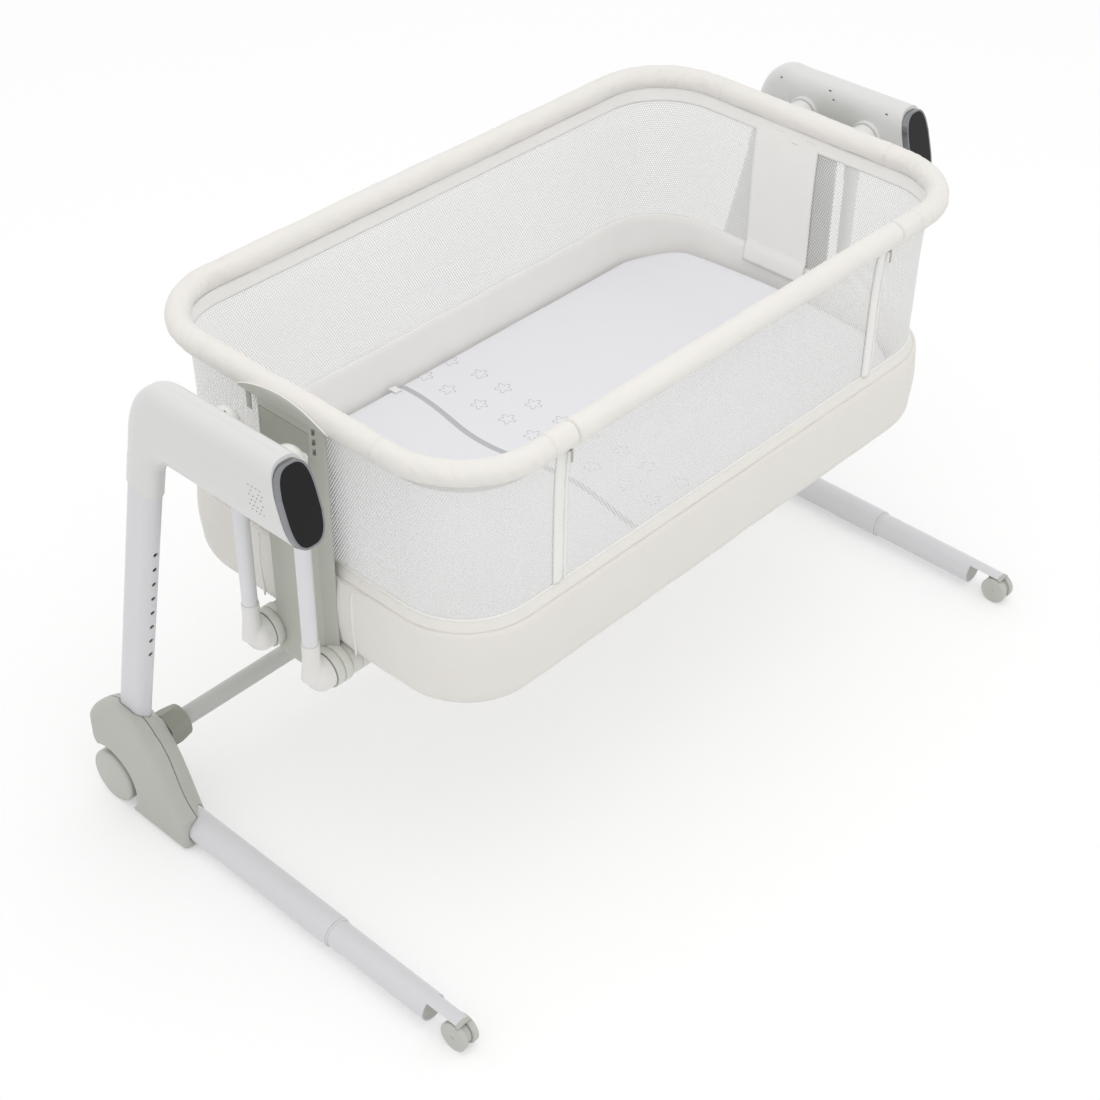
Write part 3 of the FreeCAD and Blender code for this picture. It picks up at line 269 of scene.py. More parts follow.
white_coat = powder_coat("white powder coat", "#DCDCDF")
paint_nodes(white_coat, *both("leg_tube"), *both("leg_slider"))
bush_nylon = moulded_plastic("bright nylon", "#ECECEE", 0.3, 0.6, 0.005)
for name in ("near", "far"):
    tube_low, tube_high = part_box("leg_tube_" + name)
    slider_low, slider_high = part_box("leg_slider_" + name)
    centre = (tube_low + tube_high) / 2
    tube_r, slider_r = (tube_high.x - tube_low.x) / 2, (slider_high.x - slider_low.x) / 2
    centre.y = tube_low.y
    lip = [(slider_r + 0.0002, -0.0022), (tube_r - 0.0009, -0.0022), (tube_r - 0.0004, -0.0017),
           (tube_r - 0.0004, -0.0007), (tube_r - 0.0011, -0.0002), (slider_r + 0.0002, -0.0002)]
    dress(turned("slide_bush_" + name, centre, Vector((0, 1, 0)), lip), bush_nylon, "stand", "white_plastic")

# ---- Crossbar and its clamps ---------------------------------------------------------------
# One grey powder-coated tube joins the two corners under the cot.
# The clamps that hold it are a browner polypropylene.
grey_coat = powder_coat("grey powder coat", "#C2C3BF")
paint_nodes(grey_coat, "crossbar")
clamp_plastic = moulded_plastic("polypropylene", "#95978C", 0.46, 1.2, 0.03)
paint_nodes(clamp_plastic, "crossbar_sockets")

# ---- Posts ---------------------------------------------------------------------------------
# Flat oval steel posts with a row of height holes; the inner tube is bare drawn aluminium.
# A spring pin of acetal stands in one hole, in a bush of the same plastic; a stud of it
# shows near the top of each post's front.
paint_nodes(white_coat, *both("post_tube"))
inner_aluminium = plain_material("drawn aluminium", {"Metallic": 1.0, "Roughness": 0.34}, "#C9CBCE", 0.1, 3)
paint_nodes(inner_aluminium, *both("height_tube"))
pin_plastic = moulded_plastic("acetal pin", "#8E9092", 0.45, 0.8, 0.02)
paint_nodes(pin_plastic, *both("lock_pin"), "post_bushes")
POST_LEAN = math.radians(12.85)
STUD_IN, STUD_DOWN = 0.0036, 0.0165
for name in ("near", "far"):
    low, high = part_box("post_tube_" + name)
    ahead = Vector((0, -math.cos(POST_LEAN), -math.sin(POST_LEAN)))
    centre = Vector(((low.x + high.x) / 2, low.y + STUD_IN, high.z - STUD_DOWN))
    stud = [(0, -0.001), (0, 0.0009), (0.0022, 0.0008), (0.0031, 0.0004), (0.0034, -0.0002), (0.0034, -0.001)]
    dress(turned("post_stud_" + name, centre, ahead, stud), pin_plastic, "stand", "pin_grey")

# ---- Arms ----------------------------------------------------------------------------------
# Two glossy ABS shells meet in the middle plane and are screwed together from the inner side.
# The mould is polished, so only a long soft waviness shows in the shine.
SCREW_SPOTS = ((0.0987, 0.688), (0.0179, 0.695), (0.0086, 0.686), (-0.0758, 0.693))


def gloss_abs(name, colour):
    """Polished ABS: almost mirror-smooth, with a wave of 25 mm in its reflections."""
    sockets = {"Roughness": 0.28, "IOR": 1.5, "Coat Weight": 0.1, "Coat Roughness": 0.15}
    return grained(name, sockets, colour, 0.02, 140, 25, 0.0, 0.05)


def start_tree(name, sizes):
    """New Geometry Nodes tree with a mesh going in and out, and a named input for each size."""
    tree = bpy.data.node_groups.new(name, "GeometryNodeTree")
    tree.interface.new_socket("Mesh", in_out="INPUT", socket_type="NodeSocketGeometry")
    tree.interface.new_socket("Mesh", in_out="OUTPUT", socket_type="NodeSocketGeometry")
    for size in sizes:
        tree.interface.new_socket(size, in_out="INPUT", socket_type="NodeSocketFloat")
    return tree, add_node(tree, "NodeGroupInput")


def end_tree(tree, placed, material):
    """Makes instances real, paints them and sends them out of the tree."""
    real = add_node(tree, "GeometryNodeRealizeInstances", {"Geometry": placed})
    painted = add_node(tree, "GeometryNodeSetMaterial", {"Geometry": real.outputs[0], "Material": material})
    add_node(tree, "NodeGroupOutput", {0: painted.outputs[0]})


def grow(name, points, edges, tree, sizes):
    """Runs a tree on a mesh of points and edges, and keeps its result as a plain mesh."""
    mesh = bpy.data.meshes.new(name)
    mesh.from_pydata(points, edges, [])
    piece = link_data(name, mesh)
    maker = piece.modifiers.new("maker", "NODES")
    maker.node_group = tree
    for socket in tree.interface.items_tree:
        if socket.in_out == "INPUT" and socket.name in sizes:
            maker[socket.identifier] = sizes[socket.name]
    apply_modifiers(piece)
    return piece


def screw_tree(material):
    """Pan heads on points, facing along X: a disc that tapers to a flat top as wide as the drive; no drive is
    cut in it.
    """
    tree, given = start_tree("screw heads", ("Head radius", "Head height", "Drive radius"))
    sizes = {"Vertices": 16, "Radius Top": given.outputs["Drive radius"],
             "Radius Bottom": given.outputs["Head radius"], "Depth": given.outputs["Head height"]}
    head = add_node(tree, "GeometryNodeMeshCone", sizes)
    quarter = (0, math.pi / 2, 0)
    placed = add_node(tree, "GeometryNodeInstanceOnPoints",
                      {"Points": given.outputs["Mesh"], "Instance": head.outputs[0], "Rotation": quarter})
    end_tree(tree, placed.outputs[0], material)
    return tree


arm_abs = gloss_abs("polished white ABS", "#DEDEDD")
paint_nodes(arm_abs, *both("arm_outer"), *both("arm_inner"))
board_green = moulded_plastic("board laminate", "#24503A", 0.4, 0.5, 0.01)
paint_nodes(board_green, "control_board", "swing_motor", "speaker")
dark_zinc = plain_material("black zinc plate", {"Metallic": 0.6, "Roughness": 0.45}, "#6E7072", 0.2, 1.5)
screw_heads = screw_tree(dark_zinc)
INSIDE_X = 0.3
swing_y = (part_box("rim_pad")[0].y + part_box("rim_pad")[1].y) / 2
for name, side in ENDS:
    shell = frame["nodes"]["arm_inner_" + name]
    starts = [Vector((side * INSIDE_X, swing_y + y, z)) for y, z in SCREW_SPOTS]
    spots = [shell.ray_cast(start, Vector((side, 0, 0)))[1] for start in starts]
    sizes = {"Head radius": 0.0022, "Head height": 0.0008, "Drive radius": 0.0012}
    dress(grow("arm_screws_" + name, spots, [], screw_heads, sizes), None, "arm_" + name, "steel")

# ---- Displays ------------------------------------------------------------------------------
# A chromed frame holds a pane of black acrylic on the slanted front of each arm.
# The frame is plated ABS: sharp reflections, with tiny polishing marks.
plated_chrome = plain_material("plated chrome", {"Metallic": 1.0, "Roughness": 0.09}, "#8F9194", 0.13, 4)
paint_nodes(plated_chrome, *both("display_bezel"))
sockets = {"Roughness": 0.12, "IOR": 1.49, "Specular IOR Level": 0.22}
black_acrylic = plain_material("black acrylic", sockets, "#161617", 0.3, 60)
paint_nodes(black_acrylic, *both("display_glass"))

# ---- Swing rods ----------------------------------------------------------------------------
# Four steel rods hang the basket from the arms. Their knuckles are white ABS on steel pins.
rod_coat = powder_coat("bright powder coat", "#E4E4E7")
paint_nodes(rod_coat, *both("swing_rod_front"), *both("swing_rod_rear"))
knuckle_abs = gloss_abs("white knuckle ABS", "#E8E7E4")
paint_nodes(knuckle_abs, *both("rod_ends_front"), *both("rod_ends_rear"))
paint_nodes(axle_steel, *both("upper_pivot_pins"), "lower_pivot_pins")

# ---- End plates ----------------------------------------------------------------------------
# Glass-filled nylon channels that carry the basket on the lower pivots, with a cover panel.
# The collars, and the two rings round each boss, are a lighter acetal.
plate_nylon = moulded_plastic("glass filled nylon", "#BCBEB4", 0.44, 1.1, 0.025)
paint_nodes(plate_nylon, *both("end_plate"))
panel_nylon = moulded_plastic("cover nylon", "#AEB0A4", 0.4, 1.1, 0.015)
paint_nodes(panel_nylon, "plate_panels")
collar_acetal = moulded_plastic("light acetal", "#DADBD4", 0.4, 1.0, 0.01)
paint_nodes(collar_acetal, "boss_collars")
BOSS_R, RING_LENGTH, RING_PITCH = 0.0235, 0.0104, 0.0122
collar_low, collar_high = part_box("boss_collars")
collar_r = (collar_high.z - collar_low.z) / 2
for name, side in ENDS:
    face_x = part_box("end_plate_near")[0].x * -side
    for place, y in (("front", collar_low.y + collar_r), ("rear", collar_high.y - collar_r)):
        for i in range(2):
            centre = Vector((face_x - side * (0.0003 + RING_PITCH * i), y, collar_low.z + collar_r))
            ring = [(BOSS_R - 0.0005, 0), (BOSS_R + 0.0004, 0), (BOSS_R + 0.0009, 0.0007),
                    (BOSS_R + 0.0009, RING_LENGTH - 0.0007), (BOSS_R + 0.0004, RING_LENGTH),
                    (BOSS_R - 0.0005, RING_LENGTH)]
            piece = turned("boss_ring_%s_%s_%d" % (name, place, i + 1), centre, Vector((-side, 0, 0)), ring)
            dress(piece, collar_acetal, "basket", "white_plastic")

# ---- Rim frame and base board --------------------------------------------------------------
# A steel tube runs round the top inside its sleeve, and a board stiffens the base.
paint_nodes(axle_steel, "rim_frame", "rail_tube")
board_wood = plain_material("poplar plywood", {"Roughness": 0.6, "IOR": 1.5}, "#B99B72", 0.2, 12)
paint_nodes(board_wood, "base_board")

# ---- Base band -----------------------------------------------------------------------------
# A padded tub of ivory woven polyester: a rounded underside with a sewn bottom edge, a
# bellied side that folds in under the strip, and an inner face down to the mattress. Its
# plan, like the rim's, is one rounded rectangle. The pivots press into its ends.
rim_low, rim_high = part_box("rim_pad")
rail_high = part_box("rail_pad")[1]
band_low, band_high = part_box("base_band")
bed_low, bed_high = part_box("mattress")
plate_low, plate_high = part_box("end_plate_near")
PAD_R = (rim_high.z - rim_low.z) / 2
RIM_Z = (rim_high.z + rim_low.z) / 2
RIM_Y = (rim_high.y + rim_low.y) / 2
RIM_A = rim_high.x - PAD_R
RIM_B = (rim_high.y - rim_low.y) / 2 - PAD_R
RIM_R = 0.103
RAIL_HALF = rail_high.x + 0.0003
UP = Vector((0, 0, 1))
CORNER = math.pi / 2 * RIM_R
HALF_LONG, HALF_SHORT = RIM_A - RIM_R, RIM_B - RIM_R
RUNS = [HALF_LONG, CORNER, 2 * HALF_SHORT, CORNER, 2 * HALF_LONG, CORNER, 2 * HALF_SHORT, CORNER, HALF_LONG]
LOOP = sum(RUNS)
FAR_END = HALF_LONG + CORNER + HALF_SHORT
NEAR_END = LOOP - FAR_END
PIPING_Z = band_high.z
FOLD_Z = PIPING_Z - 0.0145
ROUND = 0.032
BELLY = 0.0025
TUB_MIDDLE = 0.092
FOLD_R = 0.004
FOLD_TURN = math.pi * 0.75
LEDGE_INSET = 0.0052
WALL_INSET = 0.012
BED_INSET = RIM_A - bed_high.x
WEAVE = 1.3                # thread spacing in mm; the real 0.5 mm is drawn coarser to show


def plan_at(travel):
    """Point at height 0 and outward normal, this far anticlockwise from the front's middle."""
    left, heading, point = travel % LOOP, 0.0, Vector((0, RIM_Y - RIM_B, 0))
    for i, run in enumerate(RUNS):
        step = min(left, run)
        side = Vector((math.sin(heading), -math.cos(heading), 0))
        if i % 2:
            centre = point - side * RIM_R
            heading += step / RIM_R
            point = centre + Vector((math.sin(heading), -math.cos(heading), 0)) * RIM_R
        else:
            point = point + Vector((math.cos(heading), math.sin(heading), 0)) * step
        left -= step
        if left <= 0:
            break
    return point, Vector((math.sin(heading), -math.cos(heading), 0))


def spot_at(travel, inset, z):
    """Point at this travel, moved inwards by an inset and lifted to a height."""
    point, out = plan_at(travel)
    return point - out * inset + UP * z


def corner_share(travel):
    """How far into a corner a travel is: 1 inside its arc, fading over 40 mm of straight."""
    start, best = 0.0, 0.0
    for i, run in enumerate(RUNS):
        if i % 2:
            outside = max(start - travel % LOOP, travel % LOOP - start - run, 0)
            best = max(best, 1 - outside / 0.04)
        start += run
    return best


def steps(start, stop, size):
    """Evenly spaced values from start to stop, about size apart."""
    count = max(1, round((stop - start) / size))
    return [start + (stop - start) * i / count for i in range(count + 1)]


def skin(name, rows, travels, climbs):
    """Quads through rows of points; UVs are travel and climb in metres. A longer list closes it."""
    count, width = len(rows), len(rows[0])
    faces, places = [], []
    for i in range(len(travels) - 1):
        for j in range(len(climbs) - 1):
            corners = [(i, j), (i + 1, j), (i + 1, j + 1), (i, j + 1)]
            faces.append([a % count * width + b % width for a, b in corners])
            places.extend((travels[a], climbs[b]) for a, b in corners)
    mesh = bpy.data.meshes.new(name)
    mesh.from_pydata([point for row in rows for point in row], [], faces)
    layer = mesh.uv_layers.new(name="metres")
    layer.data.foreach_set("uv", [value for place in places for value in place])
    mesh.polygons.foreach_set("use_smooth", [True] * len(faces))
    return link_data(name, mesh)


def close_holes(piece):
    """Fills the open ends of a skin."""
    work = bmesh.new()
    work.from_mesh(piece.data)
    bmesh.ops.holes_fill(work, edges=[edge for edge in work.edges if edge.is_boundary], sides=0)
    work.to_mesh(piece.data)
    work.free()


def sums(tree, operation, *values):
    """Result of a maths node on numbers or other outputs."""
    return add_node(tree, "ShaderNodeMath", dict(enumerate(values)), operation=operation).outputs[0]


def metre_uv(tree):
    """The piece's own UV, in metres."""
    return add_node(tree, "ShaderNodeUVMap", uv_map="metres").outputs["UV"]


def woven(name, colour, sheen):
    """Plain weave in UV metres: warp and weft as two crossed waves, with fuzzy colour."""
    sockets = {"Roughness": 0.88, "IOR": 1.45, "Specular IOR Level": 0.3, "Sheen Weight": sheen,
               "Sheen Roughness": 0.4}
    material, tree, shader = start_material(name, sockets)
    mottle(tree, shader, colour, 0.04, 45)
    uv = metre_uv(tree)
    threads = []
    for direction in ("X", "Y"):
        settings = {"Vector": uv, "Scale": 1000 / WEAVE / 2, "Distortion": 0.4, "Detail": 1.0}
        wave = add_node(tree, "ShaderNodeTexWave", settings, bands_direction=direction)
        threads.append(wave.outputs["Fac"])
    add_bump(tree, shader, sums(tree, "MAXIMUM", *threads), 0.1)
    return material


def band_profile():
    """Inset and height of the tub's section, from the underside over the top to the inside."""
    section = [(TUB_MIDDLE, band_low.z), (0.06, band_low.z), (0.042, band_low.z)]
    for i in range(17):
        turn = math.pi / 2 * i / 16
        ridge = 0.0011 * math.exp(-((turn - 0.62) / 0.07) ** 2)
        reach = ROUND + ridge
        section.append((ROUND - reach * math.sin(turn), band_low.z + ROUND - reach * math.cos(turn)))
    side = FOLD_Z - FOLD_R - band_low.z - ROUND
    for share in steps(1 / 8, 1, 1 / 8):
        section.append((-BELLY * math.sin(math.pi * share), band_low.z + ROUND + side * share))
    for turn in steps(FOLD_TURN / 5, FOLD_TURN, FOLD_TURN / 5):
        section.append((FOLD_R - FOLD_R * math.cos(turn), FOLD_Z - FOLD_R + FOLD_R * math.sin(turn)))
    section += [(LEDGE_INSET + 0.001, FOLD_Z), (WALL_INSET - 0.0003, PIPING_Z - 0.002)]
    section += [(WALL_INSET + 0.0015, PIPING_Z - 0.0002), (WALL_INSET + 0.0035, PIPING_Z - 0.002)]
    for share in steps(1 / 6, 1, 1 / 6):
        soft = 0.002 * math.sin(math.pi * share)
        section.append((WALL_INSET + 0.0035 + (BED_INSET - WALL_INSET - 0.0045) * share - soft,
                        PIPING_Z - 0.002 + (bed_high.z - PIPING_Z - 0.002) * share))
    section += [(BED_INSET - 0.0008, bed_high.z - 0.02), (BED_INSET - 0.0008, bed_low.z)]
    section += [(0.05, bed_low.z - 0.001), (TUB_MIDDLE, bed_low.z - 0.001)]
    return section


def cover(piece, cloth, *nodes):
    """Dresses a piece in cloth as part of the basket."""
    return dress(piece, cloth, "basket", "ivory_fabric", *nodes)


def rows_of(travels, levels, spot):
    """Rows of points for a skin; spot gives the point at a travel and a level."""
    return [[spot(travel, level) for level in levels] for travel in travels]


def clear_pivots(point):
    """Pushes a point out of the round pockets that hold the lower pivots."""
    for side in (-1, 1):
        for pocket in pockets:
            away = Vector((0, point.y - pocket.y, point.z - pocket.z))
            if side * point.x > POCKET_X and TINY < away.length < pocket_r:
                point = Vector((point.x, pocket.y, pocket.z)) + away.normalized() * pocket_r
    return point


pin_low, pin_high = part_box("lower_pivot_pins")
pin_r = (pin_high.z - pin_low.z) / 2
pocket_r = collar_r + 0.0018
POCKET_X = 0.418
pockets = [Vector((0, y, (pin_low.z + pin_high.z) / 2)) for y in (pin_low.y + pin_r, pin_high.y - pin_r)]


def base_tub():
    """The tub as one closed skin; its sides are a little uneven and pucker by the bottom seam."""
    travels = steps(0, LOOP, 0.005)
    profile = band_profile()
    climbs = [0.0]
    for (inset, z), (inset_2, z_2) in zip(profile, profile[1:]):
        climbs.append(climbs[-1] + math.hypot(inset_2 - inset, z_2 - z))
    rows = []
    for travel in travels[:-1]:
        point, out = plan_at(travel)
        row = []
        for inset, z in profile:
            spot = point - out * inset + UP * z
            low = max(0.0, 1 - (z - band_low.z) / 0.05)
            spot += out * 0.0012 * noise.noise(spot * 22)
            pucker = noise.noise(Vector((travel * 70, z * 12, 4.0)))
            spot += out * 0.0006 * pucker * math.exp(-((z - FOLD_Z) / 0.012) ** 2)
            spot -= UP * (0.002 * low * (0.5 + noise.noise(Vector((travel * 9, 0, 7.0)))))
            row.append(clear_pivots(spot))
        rows.append(row)
    piece = skin("base_tub", rows, travels, climbs)
    inner = [j for j, (inset, z) in enumerate(profile) if inset > WALL_INSET and z > FOLD_Z][0]
    # The inner face takes the second material, a lighter copy of the band cloth: painted light on the shaded
    # inside of the basket.
    brightened_faces = [int(i % (len(profile) - 1) >= inner) for i in range(len(piece.data.polygons))]
    piece.data.polygons.foreach_set("material_index", brightened_faces)
    close_holes(piece)
    return piece


band_cloth = woven("ivory band cloth", "#EFECE6", 0.2)
# The same cloth made lighter for the tub's inner face, the hem under the sleeve and the end panels: painted
# light that brightens these shaded inner faces.
brightened_inner_cloth = woven("band cloth brightened as painted light", "#FAF8F5", 0.2)
tub = cover(base_tub(), band_cloth, "base_band")
tub.data.materials.append(brightened_inner_cloth)

# ---- Trim strip, piping and seams of the band ----------------------------------------------
# A ribbed ivory tape lies on the ledge between band and netting, under a 3 mm piping
# cord in bias tape. Lockstitch holds both, and bar tacks stop the seams beside the plates.
STRIP_T = 0.0009
STITCH = {"Pitch": 0.0048, "Length": 0.0034, "Thickness": 0.0007}
BAR_TACK = {"Pitch": 0.0065, "Length": 0.0042, "Thickness": 0.0021}


def cloth_strip(name, rows, travels, climbs, thickness):
    """Skin with the thickness of cloth, or of a thin wall."""
    piece = skin(name, rows, travels, climbs)
    thicken = piece.modifiers.new("cloth", "SOLIDIFY")
    thicken.thickness, thicken.offset = thickness, 0.0
    apply_modifiers(piece)
    return piece


def ribbed_tape(name, colour, rib):
    """Woven tape whose ribs run across it, this many millimetres apart."""
    material, tree, shader = start_material(name, {"Roughness": 0.8, "IOR": 1.45, "Sheen Weight": 0.1})
    mottle(tree, shader, colour, 0.04, 30)
    uv = metre_uv(tree)
    ribs = add_node(tree, "ShaderNodeTexWave", {"Vector": uv, "Scale": 1000 / rib / 2}, bands_direction="X")
    add_bump(tree, shader, ribs.outputs["Fac"], 0.12)
    return material


def cord(name, points, radius, across, closed=False):
    """Round cord through points; across is any direction that it never runs along."""
    count, sides = len(points), 8
    rows, travels = [], [0.0]
    for i, point in enumerate(points):
        before = points[i - 1] if closed or i else point
        after = points[(i + 1) % count] if closed or i < count - 1 else point
        side = (after - before).cross(across).normalized()
        up = side.cross(after - before).normalized()
        turns = [2 * math.pi * j / sides for j in range(sides)]
        rows.append([point + (side * math.cos(turn) + up * math.sin(turn)) * radius for turn in turns])
        travels.append(travels[-1] + (points[(i + 1) % count] - point).length)
    climbs = [2 * math.pi * radius * j / sides for j in range(sides + 1)]
    piece = skin(name, rows, travels if closed else travels[:-1], climbs)
    close_holes(piece)
    return piece


def stitch_tree(name, material):
    """Beads of thread along a line, one at each pitch, each lying along the line."""
    tree, given = start_tree(name, ("Pitch", "Length", "Thickness"))
    line = add_node(tree, "GeometryNodeMeshToCurve", {"Mesh": given.outputs["Mesh"]})
    places = add_node(tree, "GeometryNodeCurveToPoints",
                      {"Curve": line.outputs[0], "Length": given.outputs["Pitch"]}, mode="LENGTH")
    ahead = {"Vector": places.outputs["Tangent"]}
    turn = add_node(tree, "FunctionNodeAlignRotationToVector", ahead, axis="X")
    bead = add_node(tree, "GeometryNodeMeshIcoSphere", {"Radius": 0.5, "Subdivisions": 1})
    thick = given.outputs["Thickness"]
    size = add_node(tree, "ShaderNodeCombineXYZ", {0: given.outputs["Length"], 1: thick, 2: thick})
    placed = add_node(tree, "GeometryNodeInstanceOnPoints",
                      {"Points": places.outputs["Points"], "Instance": bead.outputs["Mesh"],
                       "Rotation": turn.outputs[0], "Scale": size.outputs[0]})
    end_tree(tree, placed.outputs[0], material)
    return tree


def sew(name, lines, tree, sizes):
    """Rows of stitches along lines of points, as one mesh."""
    points, edges = [], []
    for line in lines:
        first = len(points)
        points += line
        edges += [(i, i + 1) for i in range(first, len(points) - 1)]
    return grow(name, points, edges, tree, sizes)


strip_tape = ribbed_tape("ribbed trim tape", "#F5F2EC", 1.2)


def ledge_spot(travel, share, lift):
    """Point on the sloping ledge, from its foot to the piping, lifted off it."""
    inset = LEDGE_INSET + (WALL_INSET - 0.0012 - LEDGE_INSET) * share
    return spot_at(travel, inset - lift * 0.9, FOLD_Z - 0.001 + (PIPING_Z - FOLD_Z) * share + lift * 0.4)


travels = steps(0, LOOP, 0.006)
shares = steps(0, 1, 0.2)
rows = [[ledge_spot(travel, share, 0.0003 * math.sin(math.pi * share)) for share in shares]
        for travel in travels[:-1]]
ledge_width = math.hypot(PIPING_Z - FOLD_Z, WALL_INSET - 0.0012 - LEDGE_INSET)
strip = cloth_strip("trim_strip", rows, travels, [ledge_width * share for share in shares], STRIP_T)
cover(strip, strip_tape)

piping_cloth = woven("bright bias tape", "#F8F7F4", 0.2)


def corded_edge(name, points, radius, across, closed=False):
    """Cord in bias tape through points, as part of the basket."""
    edge = cover(cord(name, points, radius, across, closed), piping_cloth)


ring = [spot_at(travel, WALL_INSET - 0.0006, PIPING_Z - 0.0008) for travel in travels[:-1]]
corded_edge("piping", ring, 0.0016, UP, closed=True)

thread = plain_material("white thread", {"Roughness": 0.7, "Sheen Weight": 0.2}, "#F4F3F0", 0.06, 3)
thread_row = stitch_tree("row of stitches", thread)
seam_turn, seam_reach = 0.78, ROUND + 0.0004
seam_inset = ROUND - seam_reach * math.sin(seam_turn)
seam_z = band_low.z + ROUND - seam_reach * math.cos(seam_turn)
seam_lines = [[spot_at(travel, seam_inset, seam_z - 0.0014) for travel in travels],
              [ledge_spot(travel, 0.78, 0.0007) for travel in travels]]
cover(sew("band_stitches", seam_lines, thread_row, STITCH), None)
tack_lines = []
for side in (-1, 1):
    for edge, way in ((plate_low.y, -1), (plate_high.y, 1)):
        x = side * (RIM_A - LEDGE_INSET - 0.002)
        spots = [(edge + way * (0.010 + 0.0065 * i), FOLD_Z + 0.009 - 0.002 * i) for i in range(4)]
        tack_lines.append([Vector((x, y, z)) for y, z in spots])
cover(sew("bar_tacks", tack_lines, thread_row, BAR_TACK), None)

for name, side in ENDS:
    for place, edge, way in (("front", plate_low.y, -1), ("rear", plate_high.y, 1)):
        line = []
        for z in steps(pockets[0].z + pocket_r * 0.9, FOLD_Z - 0.004, 0.006):
            share = (z - band_low.z - ROUND) / (FOLD_Z - FOLD_R - band_low.z - ROUND)
            belly = BELLY * math.sin(math.pi * min(1.0, max(0.0, share)))
            line.append(Vector((side * (RIM_A + belly + 0.0007), edge + way * 0.0035, z)))
        corded_edge("band_edging_%s_%s" % (place, name), line, 0.0012, Vector((1, 0, 0)))

# ---- Mesh walls ----------------------------------------------------------------------------
# Knitted polyester netting, taut from the sleeve down to the piping: rows of six-sided
# holes 3.6 mm apart. In the cot the front part folds down with its rail; here it is a sheet of its own that
# stays on the basket.
HOLE_PITCH = 3.6           # mm between holes
WALL_TOP = RIM_Z - PAD_R * 0.85
WALL_FOOT = PIPING_Z - 0.001


def vectors(tree, operation, *values, result="Vector"):
    """Result of a vector maths node."""
    node = add_node(tree, "ShaderNodeVectorMath", dict(enumerate(values)), operation=operation)
    return node.outputs[result]


def knitted_mesh(name, colour, hole):
    """Netting whose tall oval holes, on a lattice of triangles, are cut by the shader's alpha."""
    sockets = {"Roughness": 0.75, "IOR": 1.45, "Specular IOR Level": 0.3, "Sheen Weight": 0.1}
    material, tree, shader = start_material(name, sockets)
    mottle(tree, shader, colour, 0.04, 60)
    uv = metre_uv(tree)
    cell = (1.0, math.sqrt(3), 1.0)
    grid = vectors(tree, "MULTIPLY", uv, [1000 / HOLE_PITCH] * 3)
    nearest = []
    for shift in (0.0, 0.5):
        moved = vectors(tree, "ADD", grid, [size * shift + 1000 * size for size in cell])
        centred = vectors(tree, "SUBTRACT", vectors(tree, "MODULO", moved, cell), [size / 2 for size in cell])
        tall = vectors(tree, "MULTIPLY", centred, (1, 0.82, 0))
        nearest.append(vectors(tree, "LENGTH", tall, result="Value"))
    away = sums(tree, "MINIMUM", *nearest)
    limits = {"Value": away, "From Min": hole - 0.06, "From Max": hole + 0.06}
    cloth = add_node(tree, "ShaderNodeMapRange", limits)
    tree.links.new(cloth.outputs["Result"], shader.inputs["Alpha"])
    add_bump(tree, shader, away, 0.3)
    return material


def wall_inset(z):
    """Inset of the netting: upright, then drawn out to the tube in its last few centimetres."""
    share = min(1.0, max(0.0, (z - WALL_FOOT) / (WALL_TOP - WALL_FOOT)))
    return WALL_INSET - 0.006 * share ** 6


def netting(name, start, stop):
    """Sheet of netting between two travels round the plan."""
    travels = steps(start, stop, 0.006)
    heights = steps(WALL_FOOT, WALL_TOP, 0.008)

    def spot(travel, z):
        share = (z - WALL_FOOT) / (WALL_TOP - WALL_FOOT)
        wave = 0.0016 * math.sin(math.pi * share) * noise.noise(Vector((travel * 14, z * 3, 1.0)))
        pull = 0.0007 * share ** 3 * (1 - share) * 4 * noise.noise(Vector((travel * 60, 0.0, 6.0)))
        return spot_at(travel, wall_inset(z) + wave + pull, z)

    return skin(name, rows_of(travels, heights, spot), travels, [z - WALL_FOOT for z in heights])


def fold_down(piece):
    """Gives a piece of the dropping side its own copy of its mesh; nothing flattens it."""
    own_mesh(piece)


white_mesh = knitted_mesh("knitted white mesh", "#ECECEA", 0.27)
back_net = netting("mesh_walls", RAIL_HALF, LOOP - RAIL_HALF)
dress(back_net, white_mesh, "basket", "mesh", "mesh_wall")
front_net = netting("mesh_drop_side", -RAIL_HALF + 0.001, RAIL_HALF - 0.001)
dress(front_net, white_mesh, "basket", "mesh", "mesh_front")
fold_down(front_net)

# ---- Rim sleeve and rail sleeve ------------------------------------------------------------
# Foam pipe under woven polyester. The sleeve is sewn from lengths, so cross seams pinch it,
# small puckers run away from them, and the inner side of each corner is compressed. Inside
# the cot its hem comes down over the netting's edge as a double band.
SEAM_DIP, SEAM_WIDTH = 0.0013, 0.0012
HEM_DROP, HEM_T = 0.017, 0.0006


